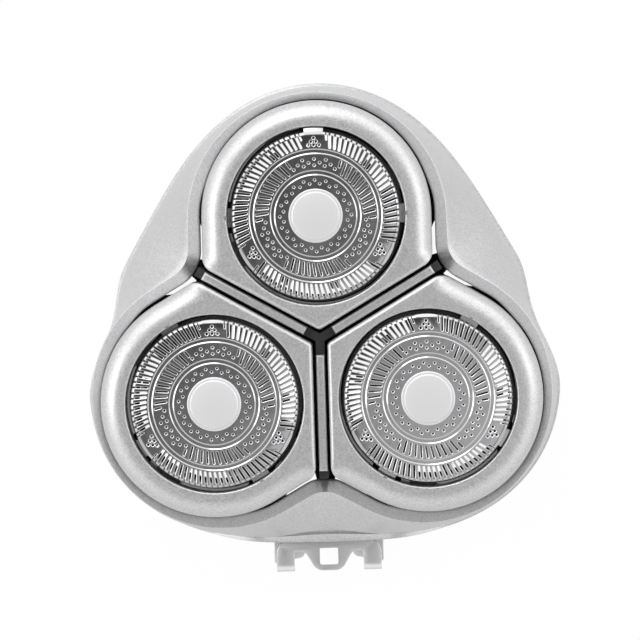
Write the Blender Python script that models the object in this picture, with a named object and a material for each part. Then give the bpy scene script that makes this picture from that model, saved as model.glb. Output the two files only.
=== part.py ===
# Rotary shaver head: three slotted guards in tilting pods, in one flared housing.
# Metres, +Z up. The head stands on the rim of its housing with the guards facing up, pod 1
# towards +Y and the hinge clip towards -Y. The origin is under the middle of the whole length,
# clip included, so the point between the three pods lies a little to the clip's side of it.

import math

import bmesh
import bpy
from mathutils import Matrix, Vector

HEADS = 3
TURN = math.tau / HEADS

# Clearance between two pieces that seat on, or run beside, each other
GAP = 0.0003

# Faces that lean to each other by less than this are one flat face after a cut
FLAT = 0.002

# Guard: a pressed steel cup with slotted tracks, three keys at its foot and a hub in the middle
GUARD_RADIUS = 0.01155
GUARD_HEIGHT = 0.0042
GUARD_WALL = 0.0004
GUARD_PROUD = 0.0005
GUARD_TRAVEL = 0.0010
EDGE_ROUND = 0.00055
OUTER_TRACK = 0.0018
MIDDLE_TRACK = 0.0021
TRACK_GROOVE = 0.0008
TRACK_GROOVE_DEPTH = 0.0002
SLOT_WIDTH = 0.0005
SLOT_LEAN = math.radians(12)
SLOTS_IN_GROUP = 7
BLANKS_IN_GROUP = 3
KEY_LENGTH = 0.0013
KEY_HEIGHT = 0.0010
GUARD_PLAY = 0.00065

# Hub cap in the guard
HUB_RADIUS = 0.0037
HUB_STEM = 0.0023
HUB_STEM_LENGTH = 0.0014
HUB_HEIGHT = 0.0005
HUB_DISC = 0.0032

# Cutter and its drive coupling
CUTTER_BLADES = 9
BLADE_THICKNESS = 0.0005
BLADE_RAKE = math.radians(25)
CUTTER_PLATE = 0.0005
COUPLING_RADIUS = 0.0024
COUPLING_FLANGE = 0.0036
COUPLING_FLANGE_HEIGHT = 0.0007
COUPLING_LENGTH = 0.0028
NOSE_RADIUS = 0.0012
SOCKET_RADIUS = 0.0015

# Retaining ring with its bayonet lugs
RING_HEIGHT = 0.0012
RING_BAND = 0.0008
RING_COLLAR = 0.0012
SPOKE_WIDTH = 0.0018
LUG_HEIGHT = 0.0008
LUG_LENGTH = 0.0014
LUG_SPAN = math.radians(18)
LOCK_TURN = math.radians(25)

# Pod
POD_OUTER_WALL = 0.0036
POD_INNER_WALL = 0.0014
POD_BELOW_RING = 0.0043
SHOULDER = 0.0025
GROOVE_EDGE = 0.0006
VALLEY_CORNER = 0.0012
INNER_CORNER = 0.0006
OPENING_CHAMFER = 0.0003
POD_TILT = math.radians(5)
PIVOT_INSET = 0.0100
PIVOT_ABOVE_FOOT = 0.0025
TRUNNION_RADIUS = 0.0007
TRUNNION_LENGTH = 0.0019

# Grooves between the pods, the chassis under them and the bars in them
GROOVE_WIDTH = 0.0021
SPINE_WIDTH = 0.0012
BAR_WIDTH = 0.0012
BAR_HEIGHT = 0.0010
BAR_LENGTH = 0.0160
BAR_START = 0.0022
BAR_BELOW_TOP = 0.0012
DECK_BOTTOM = 0.0080
DECK_THICKNESS = 0.0015
WELL_LEDGE = 0.0004
STOP_RADIUS = 0.0050
RINSE_SLOT_WIDTH = 0.0016
RINSE_SLOT_START = math.radians(14)
RINSE_SLOT_END = math.radians(72)
SPRING_STRIP = 0.00025
SPRING_WIDTH = 0.0022

# Housing
POD_GAP = 0.00045
HOUSING_BELOW_PODS = 0.0050
FLARE_APEX = 0.00215
FLARE_VALLEY = 0.0096
CREST_APEX = 0.0008
CREST_VALLEY = 0.0018
CREST_DROP = 0.0008
VALLEY_ROUND = 0.0060
GAP_WALL_DEPTH = 0.0026
RIM_HEIGHT = 0.0025
RIM_STEP = 0.0004
ARCH_COVER = 0.0011
ARCH_HALF = math.radians(18)
ARCH_END = math.radians(34)
HOUSING_WALL = 0.0015
SKIRT_BULGE = 1.7
WAIST_DEPTH = 0.0017
WAIST_ANGLE = math.radians(87)
WAIST_SPAN = math.radians(18)

# Columns of faces round the housing and the deck that fits in it
COLUMNS = 48

# Screws that hold the chassis
SCREW_BEYOND_PODS = 0.0023
SCREW_RADIUS = 0.0008
SCREW_HEAD = 0.0017
SCREW_HEAD_HEIGHT = 0.0010
SCREW_LENGTH = 0.0035
BOSS_RADIUS = 0.0017

# Hinge clip, bent from sheet, and its pin
CLIP_WIDTH = 0.0154
CLIP_SHEET = 0.0005
CLIP_REACH = 0.0043
CLIP_TIP_DROP = 0.0013
CLIP_BAND = 0.0011
LEG_WIDTH = 0.0024
TONGUE_ROOT = 0.0066
TONGUE_TIP = 0.0040
WINDOW_WIDTH = 0.0026
WINDOW_START = 0.0006
WINDOW_LENGTH = 0.0025
PIN_RADIUS = 0.0006
PIN_HEIGHT = 0.0034
PIN_INSET = 0.0030
PIN_SUPPORT = 0.0018

# Places that follow from the sizes above
OPENING = GUARD_RADIUS + GUARD_PLAY
POD_SIDE = OPENING + POD_OUTER_WALL
POD_FACE = OPENING + POD_INNER_WALL
PITCH = (POD_FACE + GROOVE_WIDTH / 2) / math.sin(TURN / 2)
PIVOT_REACH = PITCH - PIVOT_INSET
DECK_TOP = DECK_BOTTOM + DECK_THICKNESS
POD_DROP = (PIVOT_INSET + POD_SIDE) * math.sin(POD_TILT)
POD_FOOT = DECK_TOP + POD_DROP + 2 * GAP
PIVOT_Z = POD_FOOT + PIVOT_ABOVE_FOOT
RING_BOTTOM = POD_FOOT + POD_BELOW_RING
RING_TOP = RING_BOTTOM + RING_HEIGHT
GUARD_FOOT = RING_TOP + GAP
GUARD_TOP = GUARD_FOOT + GUARD_HEIGHT
POD_TOP = GUARD_TOP - GUARD_PROUD
KEY_CEILING = GUARD_FOOT + KEY_HEIGHT + GUARD_TRAVEL + GAP
HUB_HOLE = HUB_STEM + GAP
OUTER_TRACK_END = GUARD_RADIUS - EDGE_ROUND
OUTER_TRACK_START = OUTER_TRACK_END - OUTER_TRACK
MIDDLE_TRACK_END = OUTER_TRACK_START - TRACK_GROOVE
MIDDLE_TRACK_START = MIDDLE_TRACK_END - MIDDLE_TRACK
INNER_TRACK_END = MIDDLE_TRACK_START - TRACK_GROOVE
CREST_Z = POD_TOP - HOUSING_BELOW_PODS
GAP_WALL_FOOT = CREST_Z - CREST_DROP - GAP_WALL_DEPTH
SCREW_END = DECK_BOTTOM + SCREW_LENGTH
WELL_RADIUS = GUARD_RADIUS - WELL_LEDGE
BAR_TOP = POD_TOP - BAR_BELOW_TOP
PIN_HOLE = PIN_RADIUS + GAP
KNUCKLE = PIN_HOLE + CLIP_SHEET
NOTCH_HEIGHT = PIN_HEIGHT + KNUCKLE + GAP
NOTCH_HALF = CLIP_WIDTH / 2 + GAP


def clear_scene():
    for old in list(bpy.data.objects):
        bpy.data.objects.remove(old, do_unlink=True)


def paint(name, colour, roughness, metallic):
    material = bpy.data.materials.new(name)
    material.use_nodes = True
    shader = material.node_tree.nodes["Principled BSDF"]
    shader.inputs["Base Color"].default_value = (*colour, 1.0)
    shader.inputs["Roughness"].default_value = roughness
    shader.inputs["Metallic"].default_value = metallic
    return material


def finish(bm, name):
    """Turn a bmesh into a mesh whose faces point outwards."""
    bmesh.ops.remove_doubles(bm, verts=bm.verts, dist=1e-7)
    bmesh.ops.delete(bm, geom=[e for e in bm.edges if e.is_wire], context="EDGES")
    bmesh.ops.recalc_face_normals(bm, faces=bm.faces)
    mesh = bpy.data.meshes.new(name)
    bm.to_mesh(mesh)
    bm.free()
    return mesh


def polar(radius, angle, height):
    return Vector((radius * math.cos(angle), radius * math.sin(angle), height))


def turned(name, profile, steps):
    """A solid of revolution about Z. A profile of (radius, height) points is a closed section."""
    bm = bmesh.new()
    verts = [bm.verts.new((radius, 0.0, height)) for radius, height in profile]
    edges = [bm.edges.new((a, b)) for a, b in zip(verts, verts[1:] + verts[:1])]
    bmesh.ops.spin(bm, geom=verts + edges, cent=(0, 0, 0), axis=(0, 0, 1),
                   angle=math.tau, steps=steps, use_merge=True)
    return finish(bm, name)


def lofted(name, rings, closed=False):
    """Skin between rings of equally many points, capped at both ends or closed on itself."""
    bm = bmesh.new()
    loops = [[bm.verts.new(point) for point in ring] for ring in rings]
    pairs = list(zip(loops, loops[1:]))
    if closed:
        pairs.append((loops[-1], loops[0]))
    else:
        bm.faces.new(loops[0])
        bm.faces.new(loops[-1])
    for low, high in pairs:
        for i, vert in enumerate(low):
            j = (i + 1) % len(low)
            bm.faces.new((vert, low[j], high[j], high[i]))
    return finish(bm, name)


def prism(name, outline, low, high):
    """An outline of (x, y) points raised from one height to another."""
    return lofted(name, [[(x, y, z) for x, y in outline] for z in (low, high)])


def block(name, x_range, y_range, z_range):
    (x0, x1), (y0, y1) = x_range, y_range
    return prism(name, [(x0, y0), (x1, y0), (x1, y1), (x0, y1)], *z_range)


def rod(name, radius, start, end, sides=12):
    """A round bar between two points."""
    start, end = Vector(start), Vector(end)
    mesh = turned(name, [(0, 0), (radius, 0), (radius, (end - start).length),
                         (0, (end - start).length)], sides)
    turn = (end - start).to_track_quat("Z", "Y").to_matrix().to_4x4()
    mesh.transform(Matrix.Translation(start) @ turn)
    return mesh


def sector(name, inner, outer, middle, half, z_range, steps=4):
    """A piece of a ring between two radii, to each side of a middle angle."""
    angles = [middle + half * (2 * i / steps - 1) for i in range(steps + 1)]
    outline = [(outer * math.cos(a), outer * math.sin(a)) for a in angles]
    outline += [(inner * math.cos(a), inner * math.sin(a)) for a in reversed(angles)]
    return prism(name, outline, *z_range)


def combined(base, others, operation):
    """One mesh from a base mesh and others, by exact Booleans."""
    helpers = []
    body = bpy.data.objects.new("boolean_base", base)
    bpy.context.collection.objects.link(body)
    body.modifiers.new("flat_faces", "TRIANGULATE")
    for mesh in others:
        helper = bpy.data.objects.new("boolean_helper", mesh)
        bpy.context.collection.objects.link(helper)
        helpers.append(helper)
        modifier = body.modifiers.new("boolean", "BOOLEAN")
        modifier.operation = operation
        modifier.solver = "EXACT"
        modifier.object = helper
    graph = bpy.context.evaluated_depsgraph_get()
    bm = bmesh.new()
    bm.from_object(body, graph)
    bmesh.ops.dissolve_limit(bm, angle_limit=FLAT, use_dissolve_boundaries=False,
                             verts=bm.verts, edges=bm.edges)
    for used in [body] + helpers:
        bpy.data.objects.remove(used, do_unlink=True)
    return finish(bm, base.name)


def cut(base, *others):
    return combined(base, others, "DIFFERENCE")


def joined(base, *others):
    return combined(base, others, "UNION")


def moved(mesh, matrix):
    copy = mesh.copy()
    copy.transform(matrix)
    return copy


def spun(mesh, count, start=0.0):
    """Copies of a mesh, evenly turned about Z."""
    return [moved(mesh, Matrix.Rotation(start + math.tau * i / count, 4, "Z")) for i in range(count)]


def place(name, mesh, material, origin=(0, 0, 0), frame=None, smooth=True):
    """Put a mesh into the scene as a named object, with its origin where asked."""
    origin = Vector(origin)
    if mesh.users == 0:
        mesh.transform(Matrix.Translation(-origin))
        mesh.materials.clear()
        mesh.materials.append(material)
        if smooth:
            mesh.shade_smooth()
            mesh.set_sharp_from_angle(angle=math.radians(35))
    thing = bpy.data.objects.new(name, mesh)
    thing.location = origin
    thing.parent = frame
    bpy.context.collection.objects.link(thing)
    return thing


def empty(name, turn=0.0, parent=None):
    """A frame that pieces are placed in, turned about Z."""
    frame = bpy.data.objects.new(name, None)
    frame.rotation_euler = (0, 0, turn)
    frame.parent = parent
    bpy.context.collection.objects.link(frame)
    return frame


def arc_points(centre, radius, start, end, steps):
    """Points (x, y) along an arc, both ends included."""
    angles = [start + (end - start) * i / steps for i in range(steps + 1)]
    return [(centre[0] + radius * math.cos(a), centre[1] + radius * math.sin(a)) for a in angles]


def pod_outline(inset, face_inset):
    """Plan of a pod about its guard's centre, its round side towards +Y.

    Each point is (x, y, share): share is 1 on the round side and its straight sides and 0 on
    the two faces along the grooves. The insets shrink the plan from each kind of side.
    """
    side, face = POD_SIDE - inset, POD_FACE - face_inset
    valley = max(VALLEY_CORNER - face_inset, GAP)
    inner = max(INNER_CORNER - face_inset, GAP)
    half_turn = TURN / 2
    valley_x = side - valley
    valley_y = (valley_x * math.cos(half_turn) - (face - valley)) / math.sin(half_turn)
    inner_y = -(face - inner) / math.sin(half_turn)
    points = [(x, y, 1.0) for x, y in arc_points((0, 0), side, 0, math.pi, 14)]
    corner = arc_points((-valley_x, valley_y), valley, math.pi, math.pi + half_turn, 3)
    points += [(x, y, 1.0 - i / 3) for i, (x, y) in enumerate(corner)]
    tip = arc_points((0, inner_y), inner, math.pi + half_turn, math.tau - half_turn, 3)
    points += [(x, y, 0.0) for x, y in tip]
    corner = arc_points((valley_x, valley_y), valley, math.tau - half_turn, math.tau, 3)
    points += [(x, y, i / 3) for i, (x, y) in enumerate(corner)]
    return points


def pod_mesh():
    """The cap: a rounded shoulder outside, a bore for the guard, key ways and a bayonet inside."""
    rings = [[(x, y, POD_FOOT) for x, y, _ in pod_outline(0, 0)]]
    shoulder_steps = 2
    for step in range(shoulder_steps + 1):
        bend = math.pi / 2 * step / shoulder_steps
        shoulder = min(SHOULDER, POD_OUTER_WALL - 2 * OPENING_CHAMFER)
        plan = pod_outline(shoulder * (1 - math.cos(bend)), GROOVE_EDGE * (1 - math.cos(bend)))
        drop = 1 - math.sin(bend)
        rings.append([(x, y, POD_TOP - drop * (GROOVE_EDGE + share * (shoulder - GROOVE_EDGE)))
                      for x, y, share in plan])
    cap = lofted("pod_cap", rings)
    below, above = POD_FOOT - GAP, POD_TOP + GAP
    chamfer = OPENING_CHAMFER + GAP
    bore = turned("bore", [(0, below), (OPENING, below), (OPENING, POD_TOP - OPENING_CHAMFER),
                           (OPENING + chamfer, above), (0, above)], 26)
    key_reach = OPENING + KEY_LENGTH
    undercut = (RING_BOTTOM - GAP, RING_BOTTOM + LUG_HEIGHT + GAP)
    cutters = [bore]
    swept = (LUG_SPAN + LOCK_TURN) / 2 + 1.5 * GAP / OPENING
    for middle in key_angles():
        cutters.append(sector("key_way", OPENING - 2 * GAP, key_reach, middle,
                              LUG_SPAN / 2 + GAP / OPENING, (below, KEY_CEILING), 1))
        cutters.append(sector("bayonet", OPENING - 2 * GAP, key_reach / math.cos(swept / 2),
                              middle + LOCK_TURN / 2, swept, undercut, 2))
    for side in (-1, 1):
        cutters.append(rod("pivot_hole", TRUNNION_RADIUS + GAP, (side * POD_SIDE, -PIVOT_INSET, PIVOT_Z),
                           (side * OPENING / 3, -PIVOT_INSET, PIVOT_Z), 8))
    return cut(cap, *cutters)


def key_angles():
    """The three key ways: straight out and to both sides, clear of the thin walls at the grooves."""
    return [math.pi / 2, 0.0, math.pi]


def slot_angle(radius):
    """How far the leaning slots have turned at a radius, counted from the track's start."""
    return (radius - OUTER_TRACK_START) * math.tan(SLOT_LEAN) / radius


def guard_mesh():
    """The cup with its slots, which run over the edge so that fingers are left between them."""
    top, under = GUARD_TOP, GUARD_TOP - GUARD_WALL
    inside = GUARD_RADIUS - GUARD_WALL
    section = [
        (HUB_HOLE, top), (INNER_TRACK_END, top),
        ((INNER_TRACK_END + MIDDLE_TRACK_START) / 2, top - TRACK_GROOVE_DEPTH),
        (MIDDLE_TRACK_START, top), (MIDDLE_TRACK_END, top),
        ((MIDDLE_TRACK_END + OUTER_TRACK_START) / 2, top - TRACK_GROOVE_DEPTH),
        (OUTER_TRACK_START, top), (OUTER_TRACK_END, top), (GUARD_RADIUS, top - EDGE_ROUND),
        (GUARD_RADIUS, GUARD_FOOT), (inside, GUARD_FOOT), (inside, top - EDGE_ROUND - GUARD_WALL / 2),
        (OUTER_TRACK_END - GUARD_WALL / 2, under), (OUTER_TRACK_START, under), (HUB_HOLE, under),
    ]
    outside, inside_rings = (6, 7, 8), (13, 12, 11)
    fine = outside + inside_rings
    positions = HEADS * (SLOTS_IN_GROUP + BLANKS_IN_GROUP)
    step = math.tau / positions
    bm = bmesh.new()
    rings = []
    for index, (radius, height) in enumerate(section):
        half = SLOT_WIDTH / 2 / radius
        ring = []
        for place_number in range(positions):
            middle = step * (place_number + 0.5)
            if index in fine:
                middle += slot_angle(radius)
                ring.append(bm.verts.new(polar(radius, middle - half, height)))
                ring.append(bm.verts.new(polar(radius, middle + half, height)))
            else:
                ring.append(bm.verts.new(polar(radius, middle, height)))
        rings.append(ring)

    def is_slot(number):
        return number % (SLOTS_IN_GROUP + BLANKS_IN_GROUP) < SLOTS_IN_GROUP

    for index, ring in enumerate(rings):
        following = rings[(index + 1) % len(rings)]
        for number in range(positions):
            after = (number + 1) % positions
            if len(ring) == len(following) == positions:
                bm.faces.new((ring[number], ring[after], following[after], following[number]))
                continue
            a, b, c = 2 * number, 2 * number + 1, 2 * after
            if len(ring) > len(following):
                bm.faces.new((ring[a], ring[b], following[number]))
                bm.faces.new((ring[b], ring[c], following[after], following[number]))
            elif len(ring) < len(following):
                bm.faces.new((following[a], following[b], ring[number]))
                bm.faces.new((following[b], following[c], ring[after], ring[number]))
            else:
                bm.faces.new((ring[b], ring[c], following[c], following[b]))
                if not is_slot(number):
                    bm.faces.new((ring[a], ring[b], following[b], following[a]))
    for number in filter(is_slot, range(positions)):
        for column in (2 * number, 2 * number + 1):
            for k in range(2):
                bm.faces.new((rings[outside[k]][column], rings[outside[k + 1]][column],
                              rings[inside_rings[k + 1]][column], rings[inside_rings[k]][column]))
        for k in (0, 2):
            bm.faces.new((rings[outside[k]][2 * number], rings[outside[k]][2 * number + 1],
                          rings[inside_rings[k]][2 * number + 1], rings[inside_rings[k]][2 * number]))
    bmesh.ops.recalc_face_normals(bm, faces=bm.faces)
    mesh = finish(bm, "guard")
    keys = [sector("key", GUARD_RADIUS - GUARD_WALL / 3, OPENING + KEY_LENGTH - GAP, middle,
                   LUG_SPAN / 2 - GAP / OPENING, (GUARD_FOOT, GUARD_FOOT + KEY_HEIGHT), 1)
            for middle in key_angles()]
    return joined(mesh, *keys)


def hub_cap_mesh():
    """The disc pressed into the guard, with a stem whose blind hole steadies the cutter."""
    rise = GUARD_TOP + GAP + HUB_HEIGHT
    socket_top = GUARD_TOP - GUARD_WALL
    low = GUARD_TOP - GUARD_WALL - HUB_STEM_LENGTH
    socket = NOSE_RADIUS + GAP
    return turned("guard_hub_cap", [
        (0, socket_top), (socket, socket_top), (socket, low), (HUB_STEM, low),
        (HUB_STEM, GUARD_TOP + GAP), (HUB_RADIUS, GUARD_TOP + GAP),
        (HUB_RADIUS, rise - HUB_HEIGHT / 2), (HUB_DISC, rise), (0, rise)], 12)


def coupling_mesh():
    """The moulded hub under the cutter, with a driving socket from below and a nose on top."""
    flange_low = RING_TOP + GAP
    flange_top = flange_low + COUPLING_FLANGE_HEIGHT
    low = flange_low - COUPLING_LENGTH
    nose_top = GUARD_TOP - GUARD_WALL - GAP
    hub = turned("cutter_coupling", [
        (0, low), (COUPLING_RADIUS, low), (COUPLING_RADIUS, flange_low), (COUPLING_FLANGE, flange_low),
        (COUPLING_FLANGE, flange_top), (NOSE_RADIUS, flange_top), (NOSE_RADIUS, nose_top),
        (0, nose_top)], 10)
    socket = prism("socket", arc_points((0, 0), SOCKET_RADIUS, 0, math.tau * 2 / 3, 2),
                   low - GAP, flange_low)
    return cut(hub, socket)


def cutter_mesh():
    """A pressed plate with raked blades, whose tips run in the guard's two wide tracks."""
    low = RING_TOP + 2 * GAP + COUPLING_FLANGE_HEIGHT
    plate_top = low + CUTTER_PLATE
    tip = GUARD_TOP - GUARD_WALL - GAP
    bore = NOSE_RADIUS + GAP
    plate_edge = MIDDLE_TRACK_END
    plate = turned("cutter_blades", [(bore, low), (plate_edge, low), (plate_edge, plate_top),
                                     (bore, plate_top)], 12)
    blade_end = OUTER_TRACK_END - GUARD_WALL - GAP
    profile = [(INNER_TRACK_END, low), (blade_end, low), (blade_end, tip),
               (MIDDLE_TRACK_START, tip), (INNER_TRACK_END, plate_top)]
    half = BLADE_THICKNESS / 2
    rake = math.tan(BLADE_RAKE)
    blade = lofted("blade", [[(x, side + (z - low) * rake, z) for x, z in profile]
                             for side in (-half, half)])
    return joined(plate, *spun(blade, CUTTER_BLADES))


def retaining_ring_mesh():
    """The moulded ring that the guard rests on, with three spokes to a collar for the coupling."""
    outer = OPENING - GAP
    band = turned("retaining_ring", [(outer - RING_BAND, RING_BOTTOM), (outer, RING_BOTTOM),
                                     (outer, RING_TOP), (outer - RING_BAND, RING_TOP)], 15)
    collar_in = COUPLING_RADIUS + GAP
    collar_out = collar_in + RING_COLLAR
    collar = turned("collar", [(collar_in, RING_BOTTOM), (collar_out, RING_BOTTOM),
                               (collar_out, RING_TOP), (collar_in, RING_TOP)], 9)
    spoke = block("spoke", (collar_out - RING_COLLAR / 2, outer - RING_BAND / 2),
                  (-SPOKE_WIDTH / 2, SPOKE_WIDTH / 2), (RING_BOTTOM, RING_TOP))
    lugs = [sector("lug", outer - RING_BAND / 2, outer + LUG_LENGTH, middle + LOCK_TURN,
                   LUG_SPAN / 2, (RING_BOTTOM, RING_BOTTOM + LUG_HEIGHT), 1) for middle in key_angles()]
    return joined(band, collar, *spun(spoke, HEADS, math.pi / 2), *lugs)


def spring_mesh():
    """A wave spring: a thin strip laid along the pod's round side, with two humps that lift it."""
    middle = OPENING + POD_OUTER_WALL / 2
    reach = math.radians(56)
    steps = 12
    low, high = DECK_TOP + GAP, POD_FOOT - GAP - SPRING_STRIP
    rings = []
    for i in range(steps + 1):
        share = i / steps
        angle = math.pi / 2 + reach * (2 * share - 1)
        height = low + (high - low) * (0.5 - 0.5 * math.cos(2 * math.tau * share))
        rings.append([polar(middle + side * SPRING_WIDTH / 2, angle, height + up * SPRING_STRIP)
                      for side, up in ((-1, 0), (1, 0), (1, 1), (-1, 1))])
    return lofted("pod_spring", rings)


def gap_radius(angle, clearance):
    """Distance from the head's middle to a line round the pods, at an angle from a pod's middle."""
    angle = abs((angle + TURN / 2) % TURN - TURN / 2)
    side = POD_SIDE + clearance
    valley = max(VALLEY_ROUND - clearance, GAP)
    centre = (side + valley) / math.sin(TURN / 2)
    lean = TURN / 2 - angle
    straight_end = math.atan2(side, centre * math.cos(TURN / 2))
    straight_start = math.atan2(side, PITCH)
    if angle > straight_end:
        return centre * math.cos(lean) - math.sqrt(valley ** 2 - (centre * math.sin(lean)) ** 2)
    if angle > straight_start:
        return side / math.sin(angle)
    return PITCH * math.cos(angle) + math.sqrt(side ** 2 - (PITCH * math.sin(angle)) ** 2)


def swing(angle, apex, valley):
    """A size that goes smoothly from its value at the pods to its value in the valleys."""
    return (apex + valley) / 2 + (apex - valley) / 2 * math.cos(HEADS * angle)


def rim_radius(angle):
    """Foot of the flared skirt, with a shallow waist for the fingers on each flank."""
    apex = gap_radius(0, POD_GAP) + FLARE_APEX
    valley = gap_radius(TURN / 2, POD_GAP) + FLARE_VALLEY
    off_waist = abs(abs((angle + math.pi) % math.tau - math.pi) - WAIST_ANGLE) / WAIST_SPAN
    waist = WAIST_DEPTH * (0.5 + 0.5 * math.cos(math.pi * min(off_waist, 1.0)))
    return swing(angle, apex, valley) - waist


def crest_radius(angle):
    return gap_radius(angle, POD_GAP + swing(angle, CREST_APEX, CREST_VALLEY))


def skirt_radius(angle, height):
    """Outside of the housing above its rim band."""
    rise = (height - RIM_HEIGHT) / (CREST_Z - RIM_HEIGHT)
    rim, crest = rim_radius(angle) - RIM_STEP, crest_radius(angle)
    return crest + (rim - crest) * (1 - max(rise, 0.0) ** SKIRT_BULGE)


def band_top(angle):
    """Height of the rim band, which arches over the hinge's notch."""
    off_hinge = math.pi - abs((angle + math.pi) % math.tau - math.pi)
    share = min(max((off_hinge - ARCH_HALF) / (ARCH_END - ARCH_HALF), 0.0), 1.0)
    return RIM_HEIGHT + (NOTCH_HEIGHT + ARCH_COVER - RIM_HEIGHT) * (0.5 + 0.5 * math.cos(math.pi * share))


def around(radius_at, height):
    """A ring of points round the head, counted from pod 1's middle. The height may follow the angle."""
    angles = [math.tau * i / COLUMNS for i in range(COLUMNS)]
    height_at = height if callable(height) else lambda a: height
    return [polar(radius_at(a), a + math.pi / 2, height_at(a)) for a in angles]


def inside_radius(angle, height):
    """Inner wall of the housing, straight from its foot up to the foot of the gap's wall."""
    low = rim_radius(angle) - RIM_STEP - HOUSING_WALL
    high = max(skirt_radius(angle, GAP_WALL_FOOT) - HOUSING_WALL, gap_radius(angle, POD_GAP) + GAP)
    return low + (high - low) * height / GAP_WALL_FOOT


def valley_copies(mesh):
    """Copies of a mesh made at +Y, turned into the three valleys between the pods."""
    return [moved(mesh, Matrix.Rotation(TURN * (i + 0.5), 4, "Z")) for i in range(HEADS)]


def screw_reach():
    return gap_radius(TURN / 2, POD_GAP) + SCREW_BEYOND_PODS


def housing_mesh():
    """The shell: rim band, flared skirt, crest, and the wall that drops beside the pods."""
    reach = screw_reach()
    rings = [around(rim_radius, 0.0), around(rim_radius, lambda a: band_top(a) - RIM_STEP)]
    for share in (0.0, 0.35, 0.7, 1.0):
        def height_at(angle):
            return band_top(angle) + (CREST_Z - band_top(angle)) * share
        rings.append(around(lambda a: skirt_radius(a, height_at(a)), height_at))
    rings.append(around(lambda a: gap_radius(a, POD_GAP), CREST_Z - CREST_DROP))
    rings.append(around(lambda a: gap_radius(a, POD_GAP), GAP_WALL_FOOT))
    rings.append(around(lambda a: inside_radius(a, GAP_WALL_FOOT), GAP_WALL_FOOT - GAP))
    rings.append(around(lambda a: inside_radius(a, 0.0), 0.0))
    shell = lofted("head_housing", rings, closed=True)
    outer = -rim_radius(TURN / 2)
    pin_y = outer + PIN_INSET
    lug_depth = (outer + HOUSING_WALL / 2, pin_y + 2 * PIN_HOLE)
    lug_height = (PIN_HEIGHT - 2 * PIN_HOLE, NOTCH_HEIGHT + HOUSING_WALL / 2)
    lug_sides = (NOTCH_HALF + GAP / 3, NOTCH_HALF + PIN_SUPPORT + GAP)
    lugs = [block("pin_lug", sorted(side * x for x in lug_sides), lug_depth, lug_height) for side in (-1, 1)]
    bosses = valley_copies(rod("boss", BOSS_RADIUS, (0, reach, DECK_TOP + GAP),
                               (0, reach, GAP_WALL_FOOT + 2 * GAP), 8))
    notch = block("notch", (-NOTCH_HALF, NOTCH_HALF), (outer - HOUSING_WALL, outer + 3 * HOUSING_WALL),
                  (-GAP, NOTCH_HEIGHT))
    pin_end = NOTCH_HALF + PIN_SUPPORT
    pin_hole = rod("pin_hole", PIN_HOLE, (-pin_end, pin_y, PIN_HEIGHT), (pin_end, pin_y, PIN_HEIGHT), 8)
    holes = valley_copies(rod("screw_hole", SCREW_RADIUS + GAP, (0, reach, DECK_TOP),
                              (0, reach, SCREW_END + GAP), 6))
    shell = joined(cut(shell, notch), *lugs, *bosses)
    return cut(shell, pin_hole, *holes)


def chassis_mesh():
    """The black moulding: a deck with three wells, a stop in the middle and a spine in each groove."""
    edge = around(lambda a: inside_radius(a, DECK_TOP) - GAP, 0.0)
    deck = prism("chassis", [(x, y) for x, y, _ in edge], DECK_BOTTOM, DECK_TOP)
    arm_end = gap_radius(TURN / 2, POD_GAP) - GAP
    spine = block("spine", (-SPINE_WIDTH / 2, SPINE_WIDTH / 2), (-SPINE_WIDTH / 4, arm_end),
                  (DECK_TOP - GAP, BAR_TOP - BAR_HEIGHT - GAP))
    stop = rod("stop", STOP_RADIUS, (0, 0, DECK_TOP - GAP), (0, 0, POD_FOOT - GAP), 12)
    face_x = (POD_FACE - PIVOT_INSET * math.sin(TURN / 2)) / math.cos(TURN / 2)
    groove_x = PIVOT_REACH * math.tan(TURN / 2)
    trunnions = []
    for side in (-1, 1):
        pin = rod("trunnion", TRUNNION_RADIUS, (side * groove_x, PIVOT_REACH, PIVOT_Z),
                  (side * (face_x - TRUNNION_LENGTH), PIVOT_REACH, PIVOT_Z), 6)
        trunnions += spun(pin, HEADS)
    body = joined(deck, *valley_copies(spine), stop, *trunnions)
    reach = screw_reach()
    below, above = DECK_BOTTOM - GAP, DECK_TOP + GAP
    wells = spun(rod("well", WELL_RADIUS, (0, PITCH, below), (0, PITCH, above), 15), HEADS)
    slot_middle = (RINSE_SLOT_END + RINSE_SLOT_START) / 2
    slot_half = (RINSE_SLOT_END - RINSE_SLOT_START) / 2
    below_gap = VALLEY_ROUND - POD_GAP
    to_valley = Matrix.Translation((0, (POD_SIDE + VALLEY_ROUND) / math.sin(TURN / 2), 0))
    slots = []
    for side in (-1, 1):
        slot = sector("rinse_slot", below_gap - RINSE_SLOT_WIDTH / 2, below_gap + RINSE_SLOT_WIDTH / 2,
                      side * slot_middle - math.pi / 2, slot_half, (below, above), 2)
        slots += valley_copies(moved(slot, to_valley))
    holes = valley_copies(rod("screw_hole", SCREW_RADIUS + GAP, (0, reach, below), (0, reach, above), 6))
    return cut(body, *wells, *holes, *slots)


def bar_mesh():
    """A silver bar lying on the spine, with its long top edges bevelled."""
    low, bevel, half = BAR_TOP - BAR_HEIGHT, BAR_HEIGHT / 4, BAR_WIDTH / 2
    section = [(-half, low), (half, low), (half, BAR_TOP - bevel), (half - bevel, BAR_TOP),
               (bevel - half, BAR_TOP), (-half, BAR_TOP - bevel)]
    ends = (BAR_START, BAR_START + BAR_LENGTH)
    return lofted("groove_bar", [[(x, y, z) for x, z in section] for y in ends])


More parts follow.
